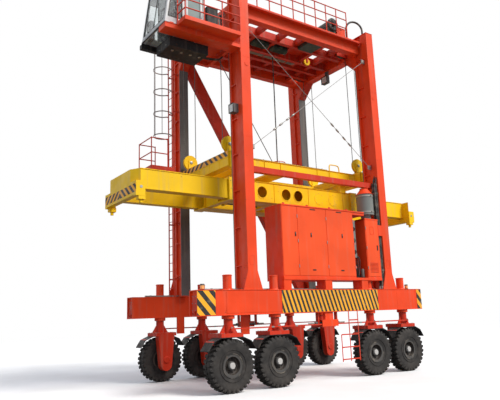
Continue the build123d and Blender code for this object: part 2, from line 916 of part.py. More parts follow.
save(group(far_ladder(), landing(), boarding_ladder()), "ladders")


# engine housing on three posts over the engine side sill, with an open bay at its rear
def engine_housing():
    y0, y1 = -column_outer_y, -column_outer_y + housing_depth
    base_z = housing_bottom - housing_sole
    shape = block(housing_front_x, cabinet_rear_x, y0, y1, base_z, housing_bottom)
    middle = (housing_front_x + bay_rear_x) / 2 - housing_post / 2
    for x in (housing_front_x, middle, bay_rear_x - housing_post - housing_post_shift):
        shape += block(x, x + housing_post, y0, -sill_inner_y, sill_top, base_z)
    shape += block(housing_front_x, housing_rear_x, y0, y1, housing_bottom, housing_top)
    shape += block(housing_rear_x, bay_rear_x, y0, y1, housing_top - bay_roof_depth, housing_top)
    return shape + block(housing_rear_x, bay_rear_x, y1 - bay_back_thickness, y1, housing_bottom, housing_top)


save(engine_housing(), "engine_housing")
save(block(bay_rear_x, cabinet_rear_x, -column_outer_y, -column_outer_y + cabinet_depth,
           housing_bottom, cabinet_top), "control_cabinet")
length, near_y, far_y, rise, drop = bay_equipment_box
bay_equipment = block(housing_rear_x, housing_rear_x + length, -column_outer_y + near_y,
                      -column_outer_y + far_y, housing_bottom + rise, housing_top - drop)


def silencer():
    top = silencer_bottom + silencer_height
    body = upright(silencer_x, silencer_y, silencer_bottom, top, silencer_radius)
    body += upright(silencer_x, silencer_y, cabinet_top, silencer_bottom, silencer_radius * silencer_neck)
    cone = Cone(silencer_radius, silencer_radius * silencer_tip, silencer_cone)
    return body + Pos(silencer_x, silencer_y, top + silencer_cone / 2) * cone


save(group(silencer(), bay_equipment), "engine_ancillaries")


def hoses():
    x0 = column_inner_x - hose_radius - hose_stand_off
    tubes = []
    for row in range(hose_rows):
        for y in hose_y:
            tubes.append(upright(x0 - row * hose_pitch, y, sill_top, hose_top, hose_radius))
    reach = hose_radius + hose_clip_reach
    for z in hose_clips:
        clip = block(x0 - (hose_rows - 1) * hose_pitch - reach, column_inner_x, hose_y[0] - reach,
                     hose_y[-1] + reach, z, z + hose_clip_height)
        for tube in tubes:
            clip += tube
        tubes = [clip]
    # the arch from the column's top down to the side beam's deck
    foot_x, foot_y = arch_foot
    run_x, run_y = foot_x - column_mid_x, foot_y - arch_column_y
    spring = column_top + arch_rise
    radius = (run_x ** 2 + run_y ** 2) ** 0.5 / 2
    arch = Rot(90, 0, 0) * Torus(radius, hose_radius)
    arch &= block(-2 * radius, 2 * radius, -hose_radius, hose_radius, 0, 2 * radius)
    turn = Rot(0, 0, degrees(atan2(run_y, run_x)))
    arch = Pos(column_mid_x + run_x / 2, arch_column_y + run_y / 2, spring) * turn * arch
    arch += upright(column_mid_x, arch_column_y, column_top, spring, hose_radius)
    arch += upright(foot_x, foot_y, deck_top, spring, hose_radius)
    return group(tubes[0], arch)


save(hoses(), "hydraulic_hoses")


# hoist: two drums with their flanges, a gearbox and the motors under the floor
def winches():
    parts = []
    for sx, sy in ((1, -1), (-1, 1)):
        x = sx * drum_x
        outer = sy * drum_outer_y
        inner = outer - sy * drum_length
        drum = across(x, drum_z, outer, inner, drum_radius)
        drum += across(x, drum_z, outer, outer - sy * drum_flange, drum_flange_radius)
        drum += across(x, drum_z, inner, inner + sy * drum_flange, drum_flange_radius)
        foot = outer - sy * drum_foot_inset
        x0, x1 = x - drum_foot_half, x + drum_foot_half
        drum += block(x0, x1, foot, foot - sy * drum_foot_width, deck_top, drum_z)
        foot = inner + sy * drum_foot_inset
        drum += block(x0, x1, foot, foot + sy * drum_foot_width, side_beam_top, drum_z)
        parts.append(drum)
    x0, x1, y0, y1, low, high = gearbox
    parts.append(block(x0, x1, y0, y1, side_beam_top + low, side_beam_top + high))
    hanger_length, hanger_width = motor_hanger
    for x in motor_x:
        motor = along(motor_y, motor_z, x, x + motor_length, motor_radius)
        middle = x + motor_length / 2
        motor += block(middle - hanger_length / 2, middle + hanger_length / 2, motor_y - hanger_width / 2,
                       motor_y + hanger_width / 2, motor_z, side_beam_top - floor_thickness)
        parts.append(motor)
    for sx in (-1, 1):
        for sy in (-1, 1):
            x, y = sx * top_sheave_x, sy * sheave_y
            wheel = sheave(x, y, top_sheave_z)
            wheel += across(x, top_sheave_z, y - sheave_thickness / 2 - cheek_gap,
                            y + sheave_thickness / 2 + cheek_gap, sheave_pin_radius)
            parts.append(wheel)
            anchor_x = sx * (sheave_x + rope_pitch_radius)
            parts.append(block(sx * column_outer_x, anchor_x + sx * anchor_reach, y - anchor_size / 2,
                               y + anchor_size / 2, anchor_z, anchor_z + anchor_size))
    return group(*parts)


# a grooved sheave: a round bottomed groove that the rope lies in
def sheave(x, y, z):
    wheel = across(x, z, y - sheave_thickness / 2, y + sheave_thickness / 2, sheave_radius)
    groove = rope_radius + sheave_groove_gap
    wheel -= Pos(x, y, z) * Rot(90, 0, 0) * Torus(rope_pitch_radius, groove)
    ring = across(x, z, y - groove, y + groove, sheave_radius + 1)
    wheel -= ring - across(x, z, y - groove - 1, y + groove + 1, rope_pitch_radius)
    return wheel


save(winches(), "winches")


# half a turn of rope round a sheave
def rope_wrap(x, y, z, lower):
    wrap = Pos(x, y, z) * Rot(90, 0, 0) * Torus(rope_pitch_radius, rope_radius)
    reach = rope_pitch_radius + 2 * rope_radius
    if lower:
        return wrap & block(x - reach, x + reach, y - reach, y + reach, z - reach, z)
    return wrap & block(x - reach, x + reach, y - reach, y + reach, z, z + reach)


def ropes():
    parts = []
    for sx in (-1, 1):
        for sy in (-1, 1):
            outer = sx * (sheave_x + rope_pitch_radius)
            inner = sx * (sheave_x - rope_pitch_radius)
            parts.append(upright(outer, sy * sheave_y, sheave_z, anchor_z, rope_radius))
            parts.append(upright(inner, sy * sheave_y, sheave_z, top_sheave_z, rope_radius))
    return group(*parts)


save(ropes(), "hoist_ropes")


# two cables from the middle beam into the basket: one straight down, one slanting from the front portal
def spreader_cable():
    straight = upright(cable_x, 0, basket_bottom + basket_height / 2, inner_beam_bottom, cable_radius)
    foot_x = cable_x - festoon_inset
    foot_z = basket_bottom + basket_height / 2
    run_x = foot_x - festoon_top_x
    run_z = festoon_top_z - foot_z
    tilt = degrees(atan2(run_x, run_z))
    slant = Cylinder(festoon_radius, (run_x ** 2 + run_z ** 2) ** 0.5)
    slant = Pos((foot_x + festoon_top_x) / 2, 0, (foot_z + festoon_top_z) / 2) * Rot(0, -tilt, 0) * slant
    slant += Pos(festoon_top_x, 0, festoon_top_z) * Sphere(festoon_radius)
    slant += upright(festoon_top_x, 0, festoon_top_z, inner_beam_bottom, festoon_radius)
    return group(straight, slant)


save(spreader_cable(), "spreader_cable")


# lamps: beacons on the sill and floodlights under the top frame
def lamps():
    radius, height = beacon_size
    parts = [upright(x, -beacon_y, sill_top, sill_top + height, radius) for x in beacon_x]
    reach, y0, y1, z0, z1 = column_lamp
    parts.append(block(-column_outer_x - reach, -column_outer_x, y0, y1, z0, z1))
    floodlight = None
    for x0, x1, y0, y1, z0, z1 in (portal_lamp, portal_lamp_post):
        piece = block(column_inner_x + x0, column_inner_x + x1, y0, y1, portal_bottom + z0, portal_bottom + z1)
        floodlight = piece if floodlight is None else floodlight + piece
    return group(*parts, floodlight)


save(lamps(), "lamps")


# head block: a frame with a sheave slot at each corner, shoes in the column guides and legs to the spreader
def head_block():
    y_end = column_inner_y - guide_gap
    inner = head_outer_x - head_beam_width
    slot_half = sheave_thickness / 2 + cheek_gap
    frame = None
    for sx in (-1, 1):
        x0, x1 = sorted((sx * head_outer_x, sx * inner))
        beam = block(x0, x1, -y_end + guide_shoe, y_end - guide_shoe, head_bottom, head_top)
        for sy in (-1, 1):
            y0, y1 = sorted((sy * y_end, sy * (y_end - guide_shoe)))
            beam += block(x0 + shoe_inset, x1 - shoe_inset, y0, y1, head_bottom - shoe_inset,
                          head_top - shoe_inset)
        for sy in (-1, 1):
            reach = sheave_radius + head_slot_gap
            beam -= block(sx * sheave_x - reach, sx * sheave_x + reach, sy * sheave_y - slot_half,
                          sy * sheave_y + slot_half, sheave_z - reach, head_top + 1)
        frame = beam if frame is None else frame + beam
    for sy in (-1, 1):
        y0, y1 = sorted((sy * head_rail_y, sy * (head_rail_y - head_rail_width)))
        frame += block(-inner, inner, y0, y1, head_bottom, head_bottom + head_rail_height)
    y_in = head_rail_y - head_rail_width
    bed_half, bed_depth = basket_bed
    frame += block(cable_x - bed_half, cable_x + bed_half, -y_in, y_in, basket_bottom - bed_depth,
                   basket_bottom)
    for sx in (-1, 1):
        x0, x1 = sx * head_leg_x - head_leg_half, sx * head_leg_x + head_leg_half
        frame += block(x0, x1, -y_in, y_in, head_bottom, head_bottom + head_cross_height)
        for sy in (-1, 1):
            frame += block(x0, x1, sy * head_leg_y - head_leg_half_y, sy * head_leg_y + head_leg_half_y,
                           spreader_bottom + spreader_height, head_bottom)
            for side in (-1, 1):
                y = sy * sheave_y + side * slot_half
                frame += block(sx * sheave_x - cheek_half, sx * sheave_x + cheek_half, y,
                               y + side * cheek_thickness, head_top - cheek_foot, sheave_z + cheek_rise)
    return frame


save(head_block(), "head_block")


def head_sheaves():
    parts = []
    reach = sheave_thickness / 2 + cheek_gap
    for sx in (-1, 1):
        for sy in (-1, 1):
            x, y = sx * sheave_x, sy * sheave_y
            parts.append(sheave(x, y, sheave_z) + across(x, sheave_z, y - reach, y + reach, sheave_pin_radius))
            parts.append(rope_wrap(x, y, sheave_z, True))
    return group(*parts)


save(head_sheaves(), "head_sheaves")


# the cable basket: rings and upright bars on a floor plate
def basket():
    cage = upright(cable_x, 0, basket_bottom, basket_bottom + basket_floor, basket_radius)
    for i in range(1, basket_rings + 1):
        z = basket_bottom + basket_height * i / basket_rings - basket_wire
        cage += Pos(cable_x, 0, z) * Torus(basket_radius - basket_wire, basket_wire)
    for i in range(basket_bars):
        angle = radians(360 * (i + 0.5) / basket_bars)
        cage += upright(cable_x + (basket_radius - basket_wire) * cos(angle),
                        (basket_radius - basket_wire) * sin(angle), basket_bottom,
                        basket_bottom + basket_height - basket_wire, basket_wire * 0.8)
    return cage


save(basket(), "cable_basket")


# spreader: two tubes joined by cross beams, with a collar at each mouth
def spreader_frame():
    z0, z1 = spreader_bottom, spreader_bottom + spreader_height
    frame = None
    for sy in (-1, 1):
        y0, y1 = sorted((sy * spreader_web_y, sy * (spreader_web_y - spreader_tube_width)))
        tube = block(-collar_outer_x, collar_outer_x, y0, y1, z0, z1)
        for sx in (-1, 1):
            x0, x1 = sorted((sx * collar_outer_x, sx * (collar_outer_x - collar_length)))
            tube += block(x0, x1, y0 - (collar_proud if sy < 0 else 0), y1 + (collar_proud if sy > 0 else 0),
                          z0 - collar_proud, z1 + collar_proud)
        wall = spreader_tube_wall
        tube -= block(-collar_outer_x - 1, collar_outer_x + 1, y0 + wall, y1 - wall, z0 + wall, z1 - wall)
        for x in web_holes_x:
            outer = sy * spreader_web_y
            tube -= across(x, (z0 + z1) / 2, outer - sy * 1.5 * wall, outer + sy * wall, web_hole_radius)
        for x in web_covers_x:
            outer = sy * spreader_web_y
            tube += across(x, (z0 + z1) / 2, outer, outer + sy * web_cover_proud, web_cover_radius)
        frame = tube if frame is None else frame + tube
    gap_y = spreader_web_y - spreader_tube_width
    for x in cross_beam_x:
        frame += block(x - cross_beam_width / 2, x + cross_beam_width / 2, -gap_y, gap_y, z0,
                       z1 - cross_beam_drop)
    return frame


save(spreader_frame(), "spreader_frame")


# telescopic ends: arms, end beam and the corner housings with their twistlocks
def spreader_end(first_y):
    x_out = end_beam_outer_x
    z_mid = spreader_bottom + spreader_height / 2
    z0, z1 = z_mid - arm_height / 2, z_mid + arm_height / 2
    arm_in = collar_outer_x - arm_overlap
    half_y = container_spacing_y / 2
    end_top = end_beam_bottom + end_beam_height
    end = block(-x_out, -x_out + end_beam_width, -half_y, half_y, end_beam_bottom, end_top)
    # above the corner plates the beam's outer corners are cut back
    chamfer = make_face(Polyline((-x_out - 1, end_chamfer_y), (-x_out - 1, half_y + 1),
                                 (-x_out + end_beam_width, half_y + 1), close=True))
    chamfer = Pos(0, 0, corner_bottom + corner_plate_height) * extrude(chamfer, amount=end_beam_height)
    end -= chamfer
    end -= far(chamfer)
    for sy in (-1, 1):
        y0, y1 = sorted((sy * first_y, sy * (first_y - arm_width)))
        end += block(-x_out + end_beam_width, -arm_in, y0, y1, z0, z1)
        for z in (z0, z1):
            reach = tube_inner_half - arm_height / 2 - slide_gap
            z_pad = z1 + reach if z == z1 else z0 - reach
            end += block(-arm_in - arm_pad_length, -arm_in, y0 + arm_pad_inset, y1 - arm_pad_inset,
                         min(z, z_pad), max(z, z_pad))
        outer = container_spacing_y / 2 + corner_width - corner_half
        y0, y1 = sorted((sy * outer, sy * (outer - corner_width)))
        end += block(-x_out, -x_out + corner_pad, y0, y1, corner_bottom, corner_bottom + corner_block_height)
        end += block(-x_out, -x_out + end_beam_width, y0, y1, corner_bottom,
                     corner_bottom + corner_plate_height)
        plate = spreader_web_y + collar_proud + corner_clearance
        y0, y1 = sorted((sy * outer, sy * plate))
        end += block(-x_out, -x_out + corner_pad, y0, y1, corner_bottom, corner_bottom + corner_plate_height)
        pad_x = -container_spacing_x / 2
        pad_y = sy * container_spacing_y / 2
        end += block(pad_x - pad_half_x, pad_x + pad_half_x, pad_y - pad_half_y, pad_y + pad_half_y, pad_face_z,
                     end_beam_bottom)
        end += upright(pad_x, pad_y, pad_face_z - twistlock_drop, pad_face_z, twistlock_radius)
    return end


front_first = spreader_web_y - spreader_tube_wall - arm_gap
rear_first = front_first - arm_width - arm_gap
save(spreader_end(front_first), "spreader_end_front")
save(rear(spreader_end(rear_first)), "spreader_end_rear")


# a wheel: the tyre's section turned round the axle, and a dished rim with its hub
def wheel(x):
    half = tyre_width / 2
    right = [(rim_radius + rim_fit, half - rim_inset), (bead_radius, half - tyre_sidewall_inset),
             (shoulder_radius, half), (tyre_radius - tyre_shoulder, half - sidewall_bulge),
             (tyre_radius, half - tyre_shoulder)]
    section = [(radius, -y) for radius, y in right] + right[::-1]
    tyre = revolve(make_face(Polyline(*section, close=True)), Axis.Y)
    tyre = Pos(x, -track_half, tyre_radius) * tyre
    y_out, y_in = -tyre_outer_y + rim_inset, -tyre_inner_y - rim_inset
    rim = across(x, tyre_radius, y_out, y_in, rim_radius)
    dish = rim_radius - rim_flange
    rim -= across(x, tyre_radius, y_out - 1, y_out + rim_dish_depth, dish)
    rim -= across(x, tyre_radius, y_out + rim_dish_depth + rim_web, y_in + 1, dish)
    rim += across(x, tyre_radius, y_out - hub_proud, y_in + hub_inner_extra, hub_radius)
    rim -= across(x, tyre_radius, -track_half, y_in + hub_inner_extra + 1, spindle_radius + spindle_clearance)
    return group(tyre, rim)


# a leg: kingpin and steering arm, the arm over the tyre, the tapered plate inboard with its spindle, a guard
def leg(x):
    foot = [(x - leg_top_half, arm_top), (x + leg_top_half, arm_top),
            (x + leg_foot_radius, leg_foot_centre_z), (x - leg_foot_radius, leg_foot_centre_z)]
    shape = side_plate(foot, -leg_outer_y, -leg_inner_y)
    shape += across(x, leg_foot_centre_z, -leg_outer_y, -leg_inner_y, leg_foot_radius)
    shape += block(x - arm_half_length, x + arm_half_length, -guard_outer_y, -leg_inner_y, arm_bottom, arm_top)
    shape += upright(x, -track_half, arm_top, sill_bottom + kingpin_engagement, kingpin_radius)
    gusset = [(x - gusset_half, arm_top), (x + gusset_half, arm_top),
              (x + kingpin_radius, arm_top + gusset_height), (x - kingpin_radius, arm_top + gusset_height)]
    shape += side_plate(gusset, -track_half - gusset_thickness / 2, -track_half + gusset_thickness / 2)
    shape += across(x, tyre_radius, -track_half + spindle_end_gap, -leg_inner_y - spindle_radius,
                    spindle_radius)
    guard = [(x + px, pz) for px, pz in guard_points]
    guard += [(x - px, pz) for px, pz in reversed(guard_points)]
    under = [(x - px + guard_taper, pz - guard_thickness) for px, pz in guard_points]
    under += [(x + px - guard_taper, pz - guard_thickness) for px, pz in reversed(guard_points)]
    shape += side_plate(guard + under, -guard_outer_y, -guard_inner_y)
    eye_y = -track_half - steer_reach
    shape += block(x - steer_arm_width / 2, x + steer_arm_width / 2, eye_y, -track_half, steer_arm_z,
                   steer_arm_z + steer_arm_depth)
    shape += upright(x, eye_y, steer_arm_z, steer_arm_z + steer_arm_depth, steer_eye_radius)
    shape -= upright(x, eye_y, steer_arm_z - 1, steer_arm_z + steer_arm_depth + 1,
                     steer_pin_radius + steer_pin_clearance)
    return shape


# a steering rod: one bar from the outer leg, over the inner leg, into the steering box
def steer_rod():
    y = -track_half - steer_reach
    x0 = -wheel_outer_x - steer_eye_radius
    x1 = -steer_box_half + steer_box_entry
    rod = block(x0, x1, y - steer_rod_width / 2, y + steer_rod_width / 2, steer_rod_z,
                steer_rod_z + steer_rod_depth)
    for x in (-wheel_outer_x, -wheel_inner_x):
        rod += upright(x, y, steer_arm_z, steer_rod_z, steer_pin_radius)
    return rod


for name, x in wheels:
    near_wheel = wheel(x)
    near_leg = leg(x)
    save(near_wheel, f"wheel_{name}_near")
    save(far(near_wheel), f"wheel_{name}_far")
    save(near_leg, f"leg_{name}_near")
    save(far(near_leg), f"leg_{name}_far")

front_rod = steer_rod()
save(front_rod, "steer_rod_front_near")
save(far(front_rod), "steer_rod_front_far")
save(rear(front_rod), "steer_rod_rear_near")
save(far(rear(front_rod)), "steer_rod_rear_far")
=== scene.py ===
import math

import bmesh
import bpy
from mathutils import Matrix, Vector


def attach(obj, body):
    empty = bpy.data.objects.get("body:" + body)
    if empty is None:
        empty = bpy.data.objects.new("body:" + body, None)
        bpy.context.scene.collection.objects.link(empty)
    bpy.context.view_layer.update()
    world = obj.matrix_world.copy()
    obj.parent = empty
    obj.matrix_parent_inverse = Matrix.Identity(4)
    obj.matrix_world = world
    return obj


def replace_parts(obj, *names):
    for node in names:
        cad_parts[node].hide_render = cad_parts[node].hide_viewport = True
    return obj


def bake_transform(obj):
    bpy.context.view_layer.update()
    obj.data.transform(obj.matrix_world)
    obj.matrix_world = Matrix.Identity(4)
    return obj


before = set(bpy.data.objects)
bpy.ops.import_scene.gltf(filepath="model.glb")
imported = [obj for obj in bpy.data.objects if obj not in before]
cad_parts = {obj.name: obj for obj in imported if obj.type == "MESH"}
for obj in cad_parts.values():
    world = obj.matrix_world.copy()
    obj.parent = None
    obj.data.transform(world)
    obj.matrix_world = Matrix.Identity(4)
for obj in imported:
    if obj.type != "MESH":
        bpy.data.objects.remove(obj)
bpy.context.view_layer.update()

# Where the frame has its main pieces, in metres
machine = {
    "wheelX": {"front": -3.76, "front_inner": -2.07, "rear_inner": 2.07, "rear": 3.76},
    "sideY": {"near": -1, "far": 1}, "endX": {"front": -1, "rear": 1},
    "trackHalf": 2.215, "tyreRadius": 0.745,
    "sillBottom": 2.136, "sillTop": 2.862, "sillOuter": 2.43, "sillInner": 2.0,
    "sillFront": -4.9, "sillRear": 4.62,
    "columnInner": 2.8, "columnOuter": 3.15, "columnOuterY": 2.43, "columnInnerY": 1.72, "columnTop": 12.75,
    "deckEdge": 2.19, "deckTop": 12.43,
    "capHeight": {"front": 0.41, "front_inner": 0.41, "rear_inner": 0.29, "rear": 0.38},
}


class Value:
    # a socket used in ordinary sums: each sum adds its Math node
    def __init__(self, look, socket):
        self.look, self.socket = look, socket

    def maths(self, operation, *given):
        return self.look.node("ShaderNodeMath", {"operation": operation}, dict(enumerate(given)))

    def __add__(self, other):
        return self.maths("ADD", self, other)

    def __sub__(self, other):
        return self.maths("SUBTRACT", self, other)

    def __mul__(self, other):
        return self.maths("MULTIPLY", self, other)

    def __truediv__(self, other):
        return self.maths("DIVIDE", self, other)

    def fraction(self):
        return self.maths("FRACT", self)

    def above(self, limit):
        return self.maths("GREATER_THAN", self, limit)

    def below(self, limit):
        return self.maths("LESS_THAN", self, limit)

    def size(self):
        return self.maths("ABSOLUTE", self)

    def fade(self, low, high, atLow=0.0, atHigh=1.0):
        given = {"Value": self, "From Min": low, "From Max": high, "To Min": atLow, "To Max": atHigh}
        return self.look.node("ShaderNodeMapRange", {"interpolation_type": "SMOOTHSTEP"}, given)


class Look:
    # one material while it is being made
    def __init__(self, name):
        self.material = bpy.data.materials.new(name)
        self.material.use_nodes = True
        self.tree = self.material.node_tree
        self.tree.nodes.clear()
        self.place = self.node("ShaderNodeTexCoord", {}, {}, "Object")

    def node(self, kind, settings, given, output=0):
        made = self.tree.nodes.new(kind)
        for key, setting in settings.items():
            setattr(made, key, setting)
        for key, value in given.items():
            if isinstance(value, Value):
                self.tree.links.new(value.socket, made.inputs[key])
            else:
                made.inputs[key].default_value = value
        return Value(self, made.outputs[output])

    def axis(self, number):
        return self.node("ShaderNodeSeparateXYZ", {}, {"Vector": self.place}, number)

    def noise(self, scale, detail=3.0, stretch=(1, 1, 1)):
        place = self.node("ShaderNodeMapping", {}, {"Vector": self.place, "Scale": stretch})
        return self.node("ShaderNodeTexNoise", {}, {"Vector": place, "Scale": scale, "Detail": detail})

    def mix(self, factor, first, second):
        return self.node("ShaderNodeMix", {"data_type": "RGBA"}, {0: factor, 6: first, 7: second}, 2)

    def surface(self, colour, roughness, bump=None, strength=0.2, depth=0.002, more=None):
        given = {"Base Color": colour, "Roughness": roughness}
        given.update(more or {})
        if bump is not None:
            given["Normal"] = self.node("ShaderNodeBump", {}, {"Height": bump, "Strength": strength, "Distance": depth})
        self.close(self.node("ShaderNodeBsdfPrincipled", {}, given))
        return self.material

    def close(self, shader):
        output = self.tree.nodes.new("ShaderNodeOutputMaterial")
        self.tree.links.new(shader.socket, output.inputs["Surface"])


def rgb(red, green, blue):
    return (red, green, blue, 1.0)


def darker(colour, share):
    return rgb(*(channel * share for channel in colour[:3]))


grime = {"dust": rgb(0.30, 0.25, 0.19), "rust": rgb(0.16, 0.045, 0.015)}

# how little the paints shine
satin = {"Specular IOR Level": 0.22}


def weathered(look, colour, wear):
    # faded patches, runs of dirt down the faces, and a few chips in the paint
    patches = look.noise(0.9, 4.0).fade(0.35, 0.7)
    runs = look.noise(2.2, 4.0, (3.0, 3.0, 0.22)).fade(0.5, 0.78) * wear
    chips = look.noise(11.0, 5.0).fade(0.69, 0.73) * wear
    faded = look.mix(patches, darker(colour, 0.86), colour)
    dirty = look.mix(runs * 0.5, faded, grime["dust"])
    return look.mix(chips, dirty, grime["rust"])


def paint(name, colour, wear=0.5, rough=0.42):
    look = Look(name)
    grain = look.noise(42.0, 3.0)
    shade = weathered(look, colour, wear)
    roughness = look.noise(3.5, 3.0).fade(0.3, 0.7, rough - 0.08, rough + 0.14)
    return look.surface(shade, roughness, grain, 0.12, 0.001, satin)


def bands(look, along, lean, period):
    # black bands on yellow paint, leaning by lean metres for each metre of height
    black = ((along + look.axis(2) * lean) / period).fraction().above(0.5)
    yellow = weathered(look, rgb(0.95, 0.42, 0.01), 0.5)
    wornBlack = look.mix(look.noise(8.0, 4.0).fade(0.55, 0.8) * 0.5, rgb(0.015, 0.013, 0.012), grime["dust"])
    return look.mix(black, yellow, wornBlack)


def stripes(name, lean, period, axisNumber, mirrored=False):
    look = Look(name)
    along = look.axis(axisNumber)
    shade = bands(look, along.size() if mirrored else along, lean, period)
    return look.surface(shade, look.noise(4.0).fade(0.3, 0.7, 0.38, 0.6))


def spreaderEndPaint():
    # yellow, with bands on the outer face between the corners
    look = Look("spreader_end_paint")
    height = look.axis(2)
    marked = look.axis(0).size().above(6.185) * height.above(5.77) * height.below(6.03)
    shade = look.mix(marked, weathered(look, yellowPaint, 0.45), bands(look, look.axis(1).size(), 1.2, 0.31))
    return look.surface(shade, look.noise(3.5).fade(0.3, 0.7, 0.34, 0.56), look.noise(42.0), 0.12, 0.001, satin)


def twoPaints(name, colour, second, chosen):
    # a second paint where chosen gives 1
    look = Look(name)
    shade = look.mix(chosen(look), weathered(look, colour, 0.5), weathered(look, second, 0.5))
    return look.surface(shade, look.noise(3.5).fade(0.3, 0.7, 0.36, 0.56), look.noise(42.0), 0.12, 0.001, satin)


def stayPlace(look):
    return look.axis(1).below(-1.0) * look.axis(2).above(6.9)


def cagePlace(look):
    return look.axis(0).below(-3.42) * look.axis(1).above(1.7) * look.axis(2).above(8.7)


def tyreRubber():
    look = Look("tyre_rubber")
    height = look.axis(2)
    dusty = look.noise(3.0, 5.0).fade(0.35, 0.75) * 0.55 + height.fade(0.0, 0.5, 0.35, 0.0)
    shade = look.mix(dusty, rgb(0.016, 0.014, 0.013), rgb(0.066, 0.056, 0.048))
    return look.surface(shade, look.noise(9.0).fade(0.3, 0.7, 0.72, 0.92), look.noise(60.0, 4.0), 0.35, 0.002)


def dullMetal(name, colour, metallic, rough=0.45):
    look = Look(name)
    spots = look.noise(6.0, 4.0).fade(0.4, 0.75)
    shade = look.mix(spots * 0.55, colour, grime["dust"])
    return look.surface(shade, look.noise(14.0).fade(0.3, 0.7, rough - 0.1, rough + 0.15), look.noise(50.0), 0.15,
                        0.001, {"Metallic": metallic})


def glassPane():
    look = Look("cab_glass_pane")
    smears = look.noise(2.2, 4.0).fade(0.45, 0.8, 0.03, 0.16)
    tint = look.mix(look.noise(0.8).fade(0.3, 0.7), rgb(0.90, 0.96, 0.96), rgb(0.96, 0.99, 0.99))
    return look.surface(tint, smears, more={"Transmission Weight": 0.9, "IOR": 1.05, "Coat Weight": 0.6})


def lampLens(name, colour):
    look = Look(name)
    ribs = (look.axis(0) * 60.0).fraction().fade(0.0, 1.0)
    shade = look.mix(look.noise(5.0).fade(0.35, 0.7), darker(colour, 0.75), colour)
    return look.surface(shade, 0.18, ribs, 0.4, 0.003, {"Coat Weight": 0.7})


def ropeStrands():
    look = Look("wire_rope_strands")
    lay = ((look.axis(2) * 14.0 + look.axis(0) * 26.0 + look.axis(1) * 26.0)).fraction().fade(0.0, 1.0)
    shade = look.mix(lay * 0.8 + look.noise(9.0) * 0.2, rgb(0.035, 0.033, 0.031), rgb(0.20, 0.19, 0.175))
    return look.surface(shade, lay.fade(0.0, 1.0, 0.35, 0.6), lay, 0.6, 0.003, {"Metallic": 0.6})


def treadPlate(name, colour):
    look = Look(name)
    along, across = look.axis(0), look.axis(1)
    rising, falling = ((slope * 26.0).fraction().fade(0.32, 0.5) for slope in (along + across, along - across))
    bars = rising * falling
    return look.surface(weathered(look, colour, 0.8), 0.55, bars, 0.5, 0.003)


def cleanerCone(look):
    return look.axis(2).above(6.285)


def innerBeamPlace(look):
    return look.axis(1).above(-0.9) * look.axis(0).below(-4.5)


def doorGlassPlace(look):
    return (look.axis(0).above(-5.018) * look.axis(0).below(-4.568) * look.axis(2).above(11.09)
            * look.axis(2).below(12.372))


orangePaint, redPaint, railPaint, yellowPaint = (rgb(0.86, 0.065, 0.012), rgb(0.60, 0.036, 0.012),
                                                 rgb(0.64, 0.050, 0.020), rgb(0.95, 0.585, 0.005))
looks = {
    "orange": paint("orange_sill_paint", orangePaint, 0.45),
    "door": paint("orange_door_paint", rgb(0.90, 0.090, 0.018), 0.3),
    "red": paint("red_leg_paint", redPaint, 0.7),
    "rail": paint("red_rail_paint", railPaint, 0.5),
    "yellow": paint("yellow_spreader_paint", yellowPaint, 0.45),
    "cab": paint("white_cab_paint", rgb(0.72, 0.73, 0.72), 0.35),
    "grey": paint("grey_guide_paint", rgb(0.135, 0.125, 0.12), 0.7, 0.5),
    "green": paint("green_motor_paint", rgb(0.055, 0.085, 0.07), 0.6),
    "black": paint("black_sheet_paint", rgb(0.022, 0.02, 0.02), 0.5, 0.5),
    "rim": paint("brown_rim_paint", rgb(0.060, 0.050, 0.044), 0.8, 0.6),
    "ring": paint("grey_rim_paint", rgb(0.085, 0.08, 0.075), 0.8, 0.6),
    "hub": paint("light_hub_paint", rgb(0.55, 0.53, 0.50), 0.5, 0.5),
    "sillStripes": stripes("sill_end_stripes", 0.9, 0.36, 0),
    "plateStripes": stripes("sill_middle_stripes", 0.36, 0.17, 0),
    "beamStripes": stripes("head_beam_stripes", 1.0, 0.30, 1, True),
    "spreaderEnd": spreaderEndPaint(),
    "stays": twoPaints("brace_and_stay_paint", redPaint, rgb(0.30, 0.285, 0.27), stayPlace),
    "cage": twoPaints("ladder_and_cage_paint", railPaint, rgb(0.30, 0.25, 0.23), cagePlace),
    "tyre": tyreRubber(),
    "steel": dullMetal("worn_steel", rgb(0.34, 0.33, 0.31), 0.8),
    "bolt": dullMetal("plated_bolt_steel", rgb(0.30, 0.27, 0.23), 0.7),
    "rubber": dullMetal("black_hose_rubber", rgb(0.018, 0.017, 0.017), 0.0, 0.55),
    "seat": dullMetal("dark_seat_vinyl", rgb(0.03, 0.032, 0.036), 0.0, 0.6),
    "glass": glassPane(),
    "amber": lampLens("amber_beacon_lens", rgb(0.95, 0.42, 0.10)),
    "clear": lampLens("clear_lamp_lens", rgb(0.70, 0.72, 0.70)),
    "rope": ropeStrands(),
    "tread": treadPlate("orange_tread_plate", rgb(0.52, 0.06, 0.025)),
    "cabDoor": twoPaints("cab_door_paint", rgb(0.72, 0.73, 0.72), rgb(0.22, 0.29, 0.28), doorGlassPlace),
    "platform": twoPaints("cab_platform_paint", orangePaint, rgb(0.022, 0.02, 0.02), innerBeamPlace),
    "airCleaner": twoPaints("air_cleaner_paint", rgb(0.20, 0.215, 0.20), orangePaint, cleanerCone),
}
print("finishes made")


